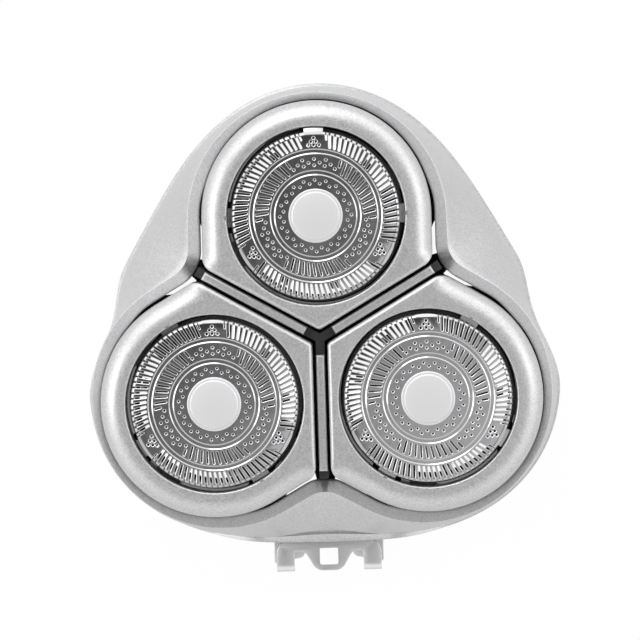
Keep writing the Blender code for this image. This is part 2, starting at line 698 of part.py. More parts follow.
def screw_mesh():
    """A pan-head screw driven up through the deck; its thread is left plain."""
    seat = DECK_BOTTOM - GAP
    low = seat - SCREW_HEAD_HEIGHT
    return turned("chassis_screw", [(0, low), (SCREW_HEAD - GAP, low), (SCREW_HEAD, low + GAP),
                                    (SCREW_HEAD, seat), (SCREW_RADIUS, seat), (SCREW_RADIUS, SCREW_END),
                                    (0, SCREW_END)], 8)


def clip_mesh():
    """A bent sheet: two legs with turned-down ends, a windowed tongue, and knuckles for the pin."""
    half, tip = CLIP_WIDTH / 2, TONGUE_TIP / 2
    rim, pin_y = -rim_radius(TURN / 2), -rim_radius(TURN / 2) + PIN_INSET
    height = PIN_HEIGHT + KNUCKLE
    leg_end = CLIP_REACH + CLIP_TIP_DROP
    right = [(half, -PIN_INSET), (half, leg_end), (half - LEG_WIDTH, leg_end),
             (half - LEG_WIDTH, CLIP_BAND), (TONGUE_ROOT / 2, CLIP_BAND), (tip, CLIP_REACH)]
    outline = right + [(-x, out) for x, out in reversed(right)]
    window = [(side * WINDOW_WIDTH / 2, WINDOW_START + along * WINDOW_LENGTH)
              for side, along in ((-1, 0), (1, 0), (1, 1), (-1, 1))]
    bm = bmesh.new()
    for loop in (outline, window):
        verts = [bm.verts.new((x, rim - out, height)) for x, out in loop]
        for a, b in zip(verts, verts[1:] + verts[:1]):
            bm.edges.new((a, b))
    bmesh.ops.triangle_fill(bm, use_beauty=True, edges=bm.edges)
    bend = rim - CLIP_REACH
    bmesh.ops.bisect_plane(bm, geom=bm.verts[:] + bm.edges[:] + bm.faces[:], dist=1e-7,
                           plane_co=(0, bend, 0), plane_no=(0, 1, 0))
    for vert in bm.verts:
        if vert.co.y < bend - GAP:
            vert.co = (vert.co.x, bend, vert.co.z - (bend - vert.co.y))
    bmesh.ops.recalc_face_normals(bm, faces=bm.faces)
    if sum(face.normal.z for face in bm.faces) < 0:
        bmesh.ops.reverse_faces(bm, faces=bm.faces)
    bmesh.ops.solidify(bm, geom=bm.faces, thickness=CLIP_SHEET)
    sheet = finish(bm, "hinge_clip")
    knuckles = []
    along_pin = Matrix.Rotation(-math.pi / 2, 4, "Y")
    for side in (-1, 1):
        tube = turned("knuckle", [(PIN_HOLE, 0), (KNUCKLE, 0), (KNUCKLE, LEG_WIDTH),
                                  (PIN_HOLE, LEG_WIDTH)], 8)
        start = half if side > 0 else LEG_WIDTH - half
        tube.transform(Matrix.Translation((start, pin_y, PIN_HEIGHT)) @ along_pin)
        knuckles.append(tube)
    return joined(sheet, *knuckles)


def pin_mesh():
    pin_y = PIN_INSET - rim_radius(TURN / 2)
    end = NOTCH_HALF + PIN_SUPPORT - GAP
    return rod("hinge_pin", PIN_RADIUS, (-end, pin_y, PIN_HEIGHT), (end, pin_y, PIN_HEIGHT), 10)


def main():
    clear_scene()
    silver = paint("silver_paint", (0.62, 0.62, 0.63), 0.35, 0.6)
    steel = paint("guard_steel", (0.45, 0.45, 0.46), 0.22, 1.0)
    bright = paint("bright_steel", (0.75, 0.75, 0.76), 0.18, 1.0)
    black = paint("black_plastic", (0.03, 0.03, 0.032), 0.5, 0.0)
    grey = paint("grey_plastic", (0.25, 0.26, 0.27), 0.5, 0.0)
    white = paint("white_plastic", (0.7, 0.7, 0.68), 0.45, 0.0)
    to_pod = Matrix.Translation((0, PITCH, 0))
    axis = (0, PITCH, 0)
    pivot = (0, PIVOT_REACH, PIVOT_Z)
    pod_pieces = [
        ("pod_cap", pod_mesh(), silver, pivot), ("guard", guard_mesh(), steel, axis),
        ("guard_hub_cap", hub_cap_mesh(), bright, axis), ("cutter_blades", cutter_mesh(), bright, axis),
        ("cutter_coupling", coupling_mesh(), white, axis),
        ("retaining_ring", retaining_ring_mesh(), grey, axis), ("pod_spring", spring_mesh(), bright, axis),
    ]
    for _, mesh, _, _ in pod_pieces:
        mesh.transform(to_pod)
    bar, screw = bar_mesh(), moved(screw_mesh(), Matrix.Translation((0, screw_reach(), 0)))
    head = empty("head_frame")
    head.location.y = (rim_radius(TURN / 2) + CLIP_REACH - rim_radius(0)) / 2
    for i in range(HEADS):
        frame = empty(f"pod_frame_{i + 1}", TURN * i, head)
        valley = empty(f"valley_frame_{i + 1}", TURN * (i + 0.5), head)
        for name, mesh, material, origin in pod_pieces:
            place(f"{name}_{i + 1}", mesh, material, origin, frame)
        place(f"groove_bar_{i + 1}", bar, silver, (0, 0, 0), valley)
        place(f"chassis_screw_{i + 1}", screw, bright, (0, 0, 0), valley)
    place("head_housing", housing_mesh(), silver, (0, 0, 0), head)
    place("chassis", chassis_mesh(), black, (0, 0, 0), head)
    hinge = (0, PIN_INSET - rim_radius(TURN / 2), PIN_HEIGHT)
    place("hinge_clip", clip_mesh(), bright, hinge, head)
    place("hinge_pin", pin_mesh(), bright, hinge, head)


main()
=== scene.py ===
# Rotary shaver head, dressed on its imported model. Metres, +Z up, guards facing up, pod 1
# towards +Y and the hinge clip towards -Y.

import math

import bmesh
import bpy
from mathutils import Matrix, Vector


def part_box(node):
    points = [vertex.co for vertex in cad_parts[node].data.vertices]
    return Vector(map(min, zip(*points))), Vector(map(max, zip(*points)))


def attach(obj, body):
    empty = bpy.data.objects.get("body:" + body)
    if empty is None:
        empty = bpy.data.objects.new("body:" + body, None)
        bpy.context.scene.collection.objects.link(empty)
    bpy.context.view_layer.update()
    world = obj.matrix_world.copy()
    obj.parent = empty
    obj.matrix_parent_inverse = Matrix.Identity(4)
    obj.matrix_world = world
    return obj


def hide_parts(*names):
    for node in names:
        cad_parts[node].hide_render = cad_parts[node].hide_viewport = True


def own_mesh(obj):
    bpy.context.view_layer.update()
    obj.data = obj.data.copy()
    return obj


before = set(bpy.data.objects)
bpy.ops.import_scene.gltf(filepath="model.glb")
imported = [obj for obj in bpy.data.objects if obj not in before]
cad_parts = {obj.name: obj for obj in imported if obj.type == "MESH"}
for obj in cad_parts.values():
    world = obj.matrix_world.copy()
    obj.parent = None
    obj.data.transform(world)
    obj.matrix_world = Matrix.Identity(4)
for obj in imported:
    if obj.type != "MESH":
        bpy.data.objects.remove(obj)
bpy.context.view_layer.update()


# Pod caps.
# Each is one injection moulding in silver metal-flake paint: a home-plate outline with a
# rolled shoulder on its round side, a fine bevel along the grooves and a bored opening.
# Key ways, a bayonet and two pivot holes are moulded in from below.
NUMBERS = (1, 2, 3)
TURN = math.tau / 3
HALF_TURN = TURN / 2
GAP = 0.0003
OPENING = 0.0122
POD_SIDE = 0.0158
POD_FACE = 0.0136
POD_SHOULDER = 0.0028
POD_FACE_EDGE = 0.0006
POD_TILT_BLEND = 0.0016
OPENING_EDGE = 0.00028
VALLEY_CORNER = 0.0012
INNER_CORNER = 0.0004
KEY_REACH = 0.0135
KEY_WAY_HEIGHT = 0.0023
UNDERCUT_HEIGHT = 0.0011
PIVOT_INSET = 0.0100
PIVOT_ABOVE_FOOT = 0.0025
PIVOT_BORE = 0.0010
RIM_NICK = 0.00032
NICK_HALF = math.radians(1.2)
KEY_HALF = math.radians(9)
OVERLAP = 0.00005
FLAT = 0.002
LOCK_TURN = math.radians(25)


def middle_of(node):
    low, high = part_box(node)
    return (Vector(low) + Vector(high)) / 2


def levels_of(node):
    """A node's lowest and highest point along Z."""
    return [corner_point[2] for corner_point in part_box(node)]


axes = [middle_of(f"guard_hub_cap_{k}").xy for k in NUMBERS]
head_middle = (axes[0] + axes[1] + axes[2]) / 3
pitch = (axes[0] - head_middle).length
head_place = Matrix.Translation((head_middle.x, head_middle.y, 0))
pod_place = {k: head_place @ Matrix.Rotation(TURN * (k - 1), 4, "Z") @ Matrix.Translation((0, pitch, 0))
             for k in NUMBERS}
valley_place = {k: head_place @ Matrix.Rotation(TURN * (k - 0.5), 4, "Z") for k in NUMBERS}
pod_foot, pod_top = levels_of("pod_cap_1")


def fresh_material(name, colour, metallic, roughness, **sockets):
    """A Principled material with what is the same all over it set on the shader's own sockets."""
    material = bpy.data.materials.new(name)
    material.use_nodes = True
    shader = material.node_tree.nodes["Principled BSDF"]
    shader.inputs["Base Color"].default_value = (*colour, 1)
    shader.inputs["Metallic"].default_value = metallic
    shader.inputs["Roughness"].default_value = roughness
    for socket, value in sockets.items():
        shader.inputs[socket.replace("_", " ")].default_value = value
    return material


def add(material, kind, settings=None, **sockets):
    """One shader node. A socket takes a value, or another node's output."""
    node = material.node_tree.nodes.new(kind)
    for setting, value in (settings or {}).items():
        setattr(node, setting, value)
    for name, value in sockets.items():
        wanted = int(name[1:]) if name[0] == "_" else name.replace("_", " ")
        if isinstance(value, bpy.types.NodeSocket):
            material.node_tree.links.new(value, node.inputs[wanted])
        else:
            node.inputs[wanted].default_value = value
    return node


def feed(material, socket, output):
    """Links an output to a socket of the material's shader."""
    shader = material.node_tree.nodes["Principled BSDF"]
    material.node_tree.links.new(output, shader.inputs[socket])


def object_point(material):
    return add(material, "ShaderNodeTexCoord").outputs["Object"]


def noise(material, point, scale, detail=2.0):
    return add(material, "ShaderNodeTexNoise", Vector=point, Scale=scale, Detail=detail).outputs["Fac"]


def spread(material, value, low, high):
    """A value from 0 to 1 laid out between low and high."""
    return add(material, "ShaderNodeMapRange", Value=value, To_Min=low, To_Max=high).outputs["Result"]


def tones(material, value, dark, light):
    """A colour between two, by a value from 0 to 1."""
    return add(material, "ShaderNodeMix", {"data_type": "RGBA"}, _0=value, _6=(*dark, 1),
               _7=(*light, 1)).outputs[2]


def bumped(material, height, distance, strength=1.0):
    feed(material, "Normal", add(material, "ShaderNodeBump", Height=height, Distance=distance,
                                 Strength=strength).outputs["Normal"])


def flake_paint():
    """Silver paint: fine bright flakes in a satin coat, with a faint cloudiness."""
    paint = fresh_material("silver_flake_paint", (0.63, 0.63, 0.635), 0.75, 0.36,
                           Coat_Weight=0.25, Coat_Roughness=0.18)
    point = object_point(paint)
    flakes = add(paint, "ShaderNodeTexVoronoi", Vector=point, Scale=9000.0)
    grain = add(paint, "ShaderNodeSeparateColor", Color=flakes.outputs["Color"]).outputs["Red"]
    clouds = noise(paint, point, 2600.0, 3.0)
    mixed = add(paint, "ShaderNodeMath", {"operation": "MULTIPLY_ADD"}, _0=grain, _1=0.7,
                _2=add(paint, "ShaderNodeMath", {"operation": "MULTIPLY"}, _0=clouds, _1=0.5).outputs[0])
    feed(paint, "Base Color", tones(paint, mixed.outputs[0], (0.50, 0.50, 0.505), (0.78, 0.78, 0.785)))
    feed(paint, "Roughness", spread(paint, grain, 0.28, 0.44))
    bumped(paint, grain, 0.000004, 0.5)
    return paint


silver_paint = flake_paint()


def finished(bm, name):
    """The mesh of a bmesh, its doubles merged and its faces pointing outwards.

    Extruded faces come in another order each run, so points and faces are sorted."""
    bmesh.ops.remove_doubles(bm, verts=bm.verts, dist=1e-7)
    bmesh.ops.delete(bm, geom=[e for e in bm.edges if e.is_wire], context="EDGES")
    bmesh.ops.recalc_face_normals(bm, faces=bm.faces)
    verts = sorted(bm.verts, key=lambda vert: vert.co[:])
    rank = {vert: i for i, vert in enumerate(verts)}
    faces = []
    for face in bm.faces:
        numbers = [rank[vert] for vert in face.verts]
        first = numbers.index(min(numbers))
        faces.append(numbers[first:] + numbers[:first])
    mesh = bpy.data.meshes.new(name)
    mesh.from_pydata([vert.co for vert in verts], [], sorted(faces))
    bm.free()
    return mesh


def repeated(mesh, places):
    """One mesh of several copies of another, each moved by its matrix."""
    bm = bmesh.new()
    for place in places:
        known = len(bm.verts)
        bm.from_mesh(mesh)
        bm.verts.ensure_lookup_table()
        bmesh.ops.transform(bm, matrix=place, verts=bm.verts[known:])
    copies = bpy.data.meshes.new(mesh.name)
    bm.to_mesh(copies)
    bm.free()
    return copies


def gathered(*meshes):
    """One mesh that holds several, which don't touch each other."""
    bm = bmesh.new()
    for mesh in meshes:
        bm.from_mesh(mesh)
    return finished(bm, meshes[0].name)


def carved(mesh, tool, operation="DIFFERENCE"):
    """A mesh with another cut out of it, or joined to it, by an exact Boolean."""
    body, helper = (bpy.data.objects.new("carving", used) for used in (mesh, tool))
    for thing in (body, helper):
        bpy.context.collection.objects.link(thing)
        thing.modifiers.new("flat_faces", "TRIANGULATE")
    modifier = body.modifiers.new("carve", "BOOLEAN")
    modifier.operation = operation
    modifier.solver = "EXACT"
    modifier.use_self = operation == "UNION"
    modifier.object = helper
    bm = bmesh.new()
    bm.from_object(body, bpy.context.evaluated_depsgraph_get())
    cut = finished(bm, mesh.name)
    bm = bmesh.new()
    bm.from_mesh(cut)
    bmesh.ops.dissolve_limit(bm, angle_limit=FLAT, verts=bm.verts, edges=bm.edges)
    for thing in (body, helper):
        bpy.data.objects.remove(thing, do_unlink=True)
    return finished(bm, mesh.name)


def piece(name, mesh, material, body, node, place=None, sharp=32):
    """A finished piece at the origin with its place in its mesh, which rides on its body for a node."""
    mesh = mesh.copy()
    mesh.name = name
    mesh.transform(place or Matrix())
    mesh.materials.clear()
    mesh.materials.append(material)
    mesh.shade_smooth()
    mesh.set_sharp_from_angle(angle=math.radians(sharp))
    thing = bpy.data.objects.new(name, mesh)
    bpy.context.collection.objects.link(thing)
    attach(thing, body)
    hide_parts(node)
    return thing


def turned(bm, points, steps):
    """Spins a closed section of (radius, height) points about Z, inside a bmesh."""
    verts = [bm.verts.new((radius, 0, height)) for radius, height in points]
    edges = [bm.edges.new(pair) for pair in zip(verts, verts[1:] + verts[:1])]
    bmesh.ops.spin(bm, geom=verts + edges, cent=(0, 0, 0), axis=(0, 0, 1), angle=math.tau, steps=steps,
                   use_merge=True)


def rounded(bm, geom, size, segments, affect="EDGES"):
    """Rounds edges, or corners, by a bevel."""
    bmesh.ops.bevel(bm, geom=geom, affect=affect, offset=size, segments=segments, profile=0.5, material=-1)


def corner(radius, across, up, start, steps=4, turn=math.pi / 2):
    """Points (radius, height) along a quarter round about a centre."""
    return [(across + radius * math.cos(start + turn * i / steps),
             up + radius * math.sin(start + turn * i / steps)) for i in range(steps + 1)]


def pod_level(side_inset, face_inset, drop_side, drop_face):
    """Points of the cap's outline at one level, whose height eases from the round side to the faces."""
    side, face = POD_SIDE - side_inset, POD_FACE - face_inset
    valley_y = -(face - side * math.cos(HALF_TURN)) / math.sin(HALF_TURN)
    bm = bmesh.new()
    bmesh.ops.spin(bm, geom=[bm.verts.new((side, 0, 0))], cent=(0, 0, 0), axis=(0, 0, 1), angle=math.pi,
                   steps=80)
    corners = [bm.verts.new(place) for place in
               ((-side, valley_y, 0), (0, -face / math.sin(HALF_TURN), 0), (side, valley_y, 0))]
    bm.faces.new(bm.verts[:])
    for vert, width in zip(corners, (VALLEY_CORNER, INNER_CORNER, VALLEY_CORNER)):
        rounded(bm, [vert], max(width - face_inset / 2, GAP), 5, "VERTICES")
    straight = [edge for edge in bm.edges if edge.calc_length() > VALLEY_CORNER]
    bmesh.ops.subdivide_edges(bm, edges=straight, cuts=11)
    bm.faces.ensure_lookup_table()
    points = [vert.co.copy() for vert in bm.faces[0].verts]
    bm.free()
    first = min(range(len(points)), key=lambda i: (points[i] - Vector((side, 0, 0))).length)
    points = points[first:] + points[:first]
    for point in points:
        reach = face - (abs(point.x) * math.cos(HALF_TURN) - point.y * math.sin(HALF_TURN))
        reach = min(max(reach / POD_TILT_BLEND, 0), 1)
        share = reach * reach * (3 - 2 * reach)
        point.z = pod_top - (drop_face + (drop_side - drop_face) * share)
    return points


def level_loop(bm, points):
    """A closed loop of edges through points."""
    verts = [bm.verts.new(point) for point in points]
    return [bm.edges.new(pair) for pair in zip(verts, verts[1:] + verts[:1])]


def ring_loop(bm, radius, height, outline):
    """A round loop with its points in the directions of an outline's points."""
    return level_loop(bm, [Vector((*(point.xy.normalized() * radius), height)) for point in outline])


def skinned(bm, loops, closed=True):
    """Bridges each loop of edges to the next one."""
    for low, high in zip(loops, loops[1:] + (loops[:1] if closed else [])):
        bmesh.ops.bridge_loops(bm, edges=low + high)


def wedge(bm, inner, outer, middle, half, low, high):
    """A block that fills a stretch of a ring, for key ways and lugs."""
    points = [(inner, low), (outer, low), (outer, high), (inner, high)]
    verts = [bm.verts.new((radius, 0, height)) for radius, height in points]
    face = bm.faces.new(verts)
    bmesh.ops.rotate(bm, verts=verts, matrix=Matrix.Rotation(middle - half, 3, "Z"))
    bmesh.ops.spin(bm, geom=[face], cent=(0, 0, 0), axis=(0, 0, 1), angle=2 * half, steps=6)


def pod_mesh():
    bm = bmesh.new()
    loops = [level_loop(bm, pod_level(0, 0, pod_top - pod_foot, pod_top - pod_foot))]
    steps = 7
    for step in range(steps + 1):
        bend = math.pi / 2 * step / steps
        inward, down = 1 - math.cos(bend), 1 - math.sin(bend)
        outline = pod_level(POD_SHOULDER * inward, POD_FACE_EDGE * inward, POD_SHOULDER * down,
                            POD_FACE_EDGE * down)
        loops.append(level_loop(bm, outline))
    for bend_radius, height in corner(OPENING_EDGE, OPENING + OPENING_EDGE, pod_top - OPENING_EDGE,
                                      math.pi / 2):
        loops.append(ring_loop(bm, bend_radius, height, outline))
    loops.append(ring_loop(bm, OPENING, pod_foot, outline))
    skinned(bm, loops)
    cap = finished(bm, "pod_cap")
    ring_low = levels_of("retaining_ring_1")[0]
    key_top = levels_of("guard_1")[0] + KEY_WAY_HEIGHT
    swept = KEY_HALF + LOCK_TURN / 2 + GAP / OPENING
    ways, undercuts, others = bmesh.new(), bmesh.new(), bmesh.new()
    for key in (math.pi / 2, 0.0, math.pi):
        wedge(ways, OPENING - GAP, KEY_REACH, key, KEY_HALF + GAP / OPENING, pod_foot - GAP, key_top)
        wedge(undercuts, OPENING - 2 * GAP, KEY_REACH + GAP / 9, key + LOCK_TURN / 2, swept,
              ring_low - GAP, ring_low + UNDERCUT_HEIGHT)
    for side in (-1, 1):
        bore = (Matrix.Translation((side * 0.010, -PIVOT_INSET, pod_foot + PIVOT_ABOVE_FOOT))
                @ Matrix.Rotation(math.pi / 2, 4, "Y"))
        bmesh.ops.create_cone(others, cap_ends=True, segments=20, radius1=PIVOT_BORE, radius2=PIVOT_BORE,
                              depth=0.012, matrix=bore)
        wedge(others, OPENING - GAP, OPENING + RIM_NICK, math.pi / 2 - side * math.pi / 2, NICK_HALF,
              pod_top - 2 * RIM_NICK, pod_top + GAP)
    bayonet = carved(finished(ways, "key_ways"), finished(undercuts, "bayonet"), "UNION")
    return carved(cap, gathered(bayonet, finished(others, "bores_and_nicks")))


pod = pod_mesh()
for k in NUMBERS:
    piece(f"pod_{k}", pod, silver_paint, f"pod_{k}", f"pod_cap_{k}", pod_place[k])


# Guards.
# Each is a pressed steel cup, ground and polished on its face: three tracks parted by rolled
# grooves. The outer track's slots run over the edge and leave fingers, the middle one has
# slots and fields of countersunk holes, and the inner one has a ring of small holes.
GUARD_RADIUS = 0.01155
GUARD_WALL = 0.0004
GUARD_EDGE = 0.00055
GROOVE_DEPTH = 0.00008
GROOVE_SLOPE = 0.00017
HUB_HOLE = 0.0026
TRACK_GROOVES = ((0.00553, 0.00627), (0.00843, 0.00917))
OUTER_PITCH = math.radians(4)
MIDDLE_PITCH = math.radians(6)
SLOT_LEAN = math.radians(11)
SLOT_FLARE = 0.000032
FLARE_WIDTH = 0.000065
FLARE_BEYOND = 1.2
FACET_REACH = 0.01110
FACET_SIZE = 0.0030
EDGE_SLOT_DEPTH = 0.0011
FACE_SLOT_DEPTH = 0.0006
OUTER_SLOTS = 25
MIDDLE_SLOTS = 10
# Each slot's start, end, width and depth.
OUTER_SLOT = (0.00932, GUARD_RADIUS + GAP, 0.00028, EDGE_SLOT_DEPTH)
BESIDE_SLOT = (0.0104, GUARD_RADIUS + GAP, 0.00018, EDGE_SLOT_DEPTH)
MIDDLE_SLOT = (0.00648, 0.00828, 0.00026, FACE_SLOT_DEPTH)
SHORT_SLOT = (0.00726, 0.00828, 0.00026, FACE_SLOT_DEPTH)
# Each field's bore and pitch, and the radius of each row with its holes' places in pitches.
OUTER_FIELD = (0.00019, OUTER_PITCH, ((0.01062, (0,)), (0.01013, (-0.5, 0.5)), (0.00966, (-1.1, 0, 1.1))))
MIDDLE_FIELD = (0.00017, MIDDLE_PITCH,
                ((0.00776, (-2, 0, 2)), (0.00728, (-3, -1, 1, 3)), (0.0069, (-4, -2, 0, 2, 4))))
INNER_HOLES = 20
INNER_BORE = 0.00016
INNER_ROWS = ((0.0049, 0), (0.00442, 0.5))
KEY_LENGTH = 0.00165
KEY_HEIGHT = 0.0010
TAB_CLEAR = 0.00015
TAB_HALF = math.radians(6.4)
TAB_SLOPE = 0.5
TAB_DROP = 0.0005
TAB_HEIGHT = 0.0006
guard_foot, guard_top = levels_of("guard_1")


def block(bm, low, high):
    """A plain block between two corners."""
    low, high = Vector(low), Vector(high)
    bmesh.ops.create_cube(bm, size=1.0, matrix=Matrix.Translation((low + high) / 2)
                          @ Matrix.Diagonal((*(high - low), 1)))


def uprights_of(bm):
    """Edges that stand along Z."""
    return [e for e in bm.edges if abs((e.verts[0].co - e.verts[1].co).normalized().z) > 0.99]


def height_of(face):
    return face.calc_center_median().z


def pulled(bm, face, shift):
    """Extrudes a face by a vector, and gives the vertices of its new end."""
    grown = bmesh.ops.extrude_face_region(bm, geom=[face])["geom"]
    end = [v for v in grown if isinstance(v, bmesh.types.BMVert)]
    bmesh.ops.translate(bm, vec=shift, verts=end)
    return end


def guard_section():
    """Half section of the cup, from its hub hole over the edge to its foot and back inside."""
    face = [(HUB_HOLE, 0)]
    for start, end in TRACK_GROOVES:
        low_start, low_end = start + GROOVE_SLOPE, end - GROOVE_SLOPE
        face += [(start, 0), (low_start, -GROOVE_DEPTH), (low_end, -GROOVE_DEPTH), (end, 0)]
    across = GUARD_RADIUS - GUARD_EDGE
    face += corner(GUARD_EDGE, across, -GUARD_EDGE, math.pi / 2, 8, -math.pi / 2)
    inside = GUARD_RADIUS - GUARD_WALL
    points = [(radius, guard_top + height) for radius, height in face]
    half_wall, ceiling = GUARD_WALL / 2, guard_top - GUARD_WALL
    return points + [(GUARD_RADIUS, guard_foot), (inside, guard_foot),
                     (inside, guard_top - GUARD_EDGE - half_wall), (across - half_wall, ceiling),
                     (HUB_HOLE, ceiling)]


def slot_tool(start, end, width, depth):
    """A leaning slot along X with rounded ends, whose upper edges flare."""
    length = end - start
    bm = bmesh.new()
    block(bm, (-length / 2, -width / 2, -depth), (length / 2, width / 2, -SLOT_FLARE))
    rounded(bm, uprights_of(bm), width * 0.45, 2)
    top = max(bm.faces, key=height_of)
    rim = pulled(bm, top, (0, 0, SLOT_FLARE * FLARE_BEYOND))
    bmesh.ops.delete(bm, geom=[top], context="FACES_ONLY")
    flare = 2 * FLARE_WIDTH * FLARE_BEYOND
    bmesh.ops.scale(bm, vec=(1 + flare / length, 1 + flare / width, 1), verts=rim)
    lean = Matrix.Translation(((start + end) / 2, 0, guard_top)) @ Matrix.Rotation(SLOT_LEAN, 4, "Z")
    bmesh.ops.transform(bm, matrix=lean, verts=bm.verts)
    return finished(bm, "slot")


def hole_tool(bore):
    """A round hole with a countersink, in the middle of the guard's face."""
    bm = bmesh.new()
    depth = bore * 0.3
    spot = Matrix.Translation((0, 0, guard_top + depth / 8 - depth / 2))
    bmesh.ops.create_cone(bm, cap_ends=True, segments=12, radius1=bore, radius2=bore * 1.55,
                          depth=depth, matrix=spot)
    foot = min(bm.faces, key=height_of)
    pulled(bm, foot, (0, 0, -FACE_SLOT_DEPTH))
    bmesh.ops.delete(bm, geom=[foot], context="FACES_ONLY")
    return finished(bm, "hole")


def about(angle):
    return Matrix.Rotation(angle, 4, "Z")


def guard_mesh():
    bm = bmesh.new()
    turned(bm, guard_section(), 180)
    cup = finished(bm, "guard")
    fields = [math.pi / 2 + TURN * third for third in range(3)]
    bm = bmesh.new()
    facet = (Matrix.Translation((FACET_REACH, 0, guard_top)) @ Matrix.Rotation(-math.pi / 4, 4, "Y")
             @ Matrix.Translation((FACET_SIZE / 2, 0, 0)))
    bmesh.ops.create_cube(bm, size=FACET_SIZE, matrix=facet)
    facets = repeated(finished(bm, "facet"), [about(field) for field in fields])
    outer = [about(field + OUTER_PITCH * (i + 3)) for field in fields for i in range(OUTER_SLOTS)]
    beside = [about(field + side * OUTER_PITCH * 2.35 + SLOT_LEAN / 20) for field in fields
              for side in (-1, 1)]
    across = [about(field + HALF_TURN) for field in fields]
    middle = [turn @ about(MIDDLE_PITCH * (i - (MIDDLE_SLOTS - 1) / 2)) for turn in across
              for i in range(MIDDLE_SLOTS)]
    short = [turn @ about(side * MIDDLE_PITCH * (MIDDLE_SLOTS + 1) / 2) for turn in across
             for side in (-1, 1)]
    slots = (OUTER_SLOT, outer), (BESIDE_SLOT, beside), (MIDDLE_SLOT, middle), (SHORT_SLOT, short)
    tools = [facets] + [repeated(slot_tool(*sizes), places) for sizes, places in slots]
    for bore, step, fans in (OUTER_FIELD, MIDDLE_FIELD):
        spots = [about(field + spot * step) @ Matrix.Translation((radius, 0, 0))
                 for field in fields for radius, across in fans for spot in across]
        tools.append(repeated(hole_tool(bore), spots))
    inner = [about(math.tau * (i + shift) / INNER_HOLES) @ Matrix.Translation((radius, 0, 0))
             for i in range(INNER_HOLES) for radius, shift in INNER_ROWS]
    tools.append(repeated(hole_tool(INNER_BORE), inner))
    cup = carved(cup, gathered(*tools))
    keys = bmesh.new()
    for key in (math.pi / 2, 0.0, math.pi):
        wedge(keys, GUARD_RADIUS - GUARD_WALL / 2, GUARD_RADIUS + KEY_LENGTH, key,
              KEY_HALF - 2 * GAP / OPENING, guard_foot + OVERLAP, guard_foot + KEY_HEIGHT)
    return gathered(cup, finished(keys, "keys"))


def turned_steel(k):
    """Polished steel with the fine rings that grinding leaves round the guard's axis."""
    steel = fresh_material(f"guard_steel_{k}", (0.6, 0.6, 0.61), 1.0, 0.14)
    point = object_point(steel)
    centred = add(steel, "ShaderNodeMapping", Vector=point, Location=(-axes[k - 1].x, -axes[k - 1].y, 0),
                  Scale=(1, 1, 0)).outputs[0]
    reach = add(steel, "ShaderNodeVectorMath", {"operation": "LENGTH"}, _0=centred).outputs["Value"]
    rings = add(steel, "ShaderNodeTexNoise", {"noise_dimensions": "1D"}, W=reach, Scale=16000.0, Detail=3.0,
                Roughness=0.6).outputs["Fac"]
    smears = noise(steel, point, 260.0, 3.0)
    feed(steel, "Base Color", tones(steel, rings, (0.5, 0.5, 0.51), (0.7, 0.7, 0.71)))
    feed(steel, "Roughness", spread(steel, smears, 0.09, 0.16))
    bumped(steel, smears, 0.000012)
    return steel


def tab_mesh():
    """The small sloping tab on the outward side of guard 1 only."""
    bm = bmesh.new()
    inner = GUARD_RADIUS - GUARD_WALL / 2
    wedge(bm, inner, OPENING - TAB_CLEAR, math.pi / 2, TAB_HALF, guard_top - TAB_DROP - TAB_HEIGHT,
          guard_top - TAB_DROP)
    for vert in bm.verts:
        vert.co.z -= (vert.co.xy.length - inner) * TAB_SLOPE
    return finished(bm, "tab")


guard = guard_mesh()
tabbed_guard = gathered(guard, tab_mesh())
for k in NUMBERS:
    cup = tabbed_guard if k == 1 else guard
    piece(f"guard_cup_{k}", cup, turned_steel(k), f"guard_{k}", f"guard_{k}", pod_place[k], 14)


# Hub caps.
# A bright satin disc pressed into the middle of each guard, with a stem whose blind hole
# steadies the cutter. Its face is bare.
HUB_RADIUS = 0.0037
HUB_STEM = 0.0023
NOSE_HOLE = 0.0015
HUB_EDGE = 0.00016
HUB_STEP = 0.0034
HUB_DROP = 0.00018
HUB_GROOVE = 0.00008
HUB_FACE = 0.00326
FACE_EDGE = 0.00014
hub_foot, hub_top = levels_of("guard_hub_cap_1")


def hub_mesh():
    bm = bmesh.new()
    seat, rim = guard_top + GAP, hub_top
    points = [(0, guard_top - GUARD_WALL), (NOSE_HOLE, guard_top - GUARD_WALL), (NOSE_HOLE, hub_foot),
              (HUB_STEM, hub_foot), (HUB_STEM, seat), (HUB_RADIUS - HUB_EDGE * 0.75, seat)]
    points += corner(HUB_EDGE, HUB_RADIUS - HUB_EDGE, seat + HUB_EDGE, 0, 3)
    points += [(HUB_STEP, rim - HUB_DROP), (HUB_STEP - HUB_GROOVE, rim - HUB_DROP - HUB_GROOVE / 4)]
    points += corner(FACE_EDGE, HUB_FACE - FACE_EDGE, rim - FACE_EDGE, 0, 3) + [(0, rim)]
    turned(bm, points, 96)
    return finished(bm, "hub_cap")


def satin_disc():
    disc = fresh_material("hub_cap_satin", (0.84, 0.84, 0.85), 0.4, 0.42)
    point = object_point(disc)
    feed(disc, "Roughness", spread(disc, noise(disc, point, 9000.0), 0.3, 0.46))
    bumped(disc, noise(disc, point, 12000.0), 0.000002, 0.4)
    return disc


hub_satin = satin_disc()
hub = hub_mesh()
for k in NUMBERS:
    piece(f"hub_cap_{k}", hub, hub_satin, f"guard_{k}", f"guard_hub_cap_{k}", pod_place[k])


# Cutters.
# A pressed plate with nine raked blades. Each blade has one tip for the middle track and one
# for the outer track, and dips under the groove between them.
BLADES = 9
BLADE_THICKNESS = 0.0005
BLADE_RAKE = math.radians(25)
PLATE_RADIUS = 0.0084
PLATE_THICKNESS = 0.0005
BLADE_DIP = 0.0008
NOSE_RADIUS = 0.0012
plate_foot, blade_tip = levels_of("cutter_blades_1")
plate_top = plate_foot + PLATE_THICKNESS


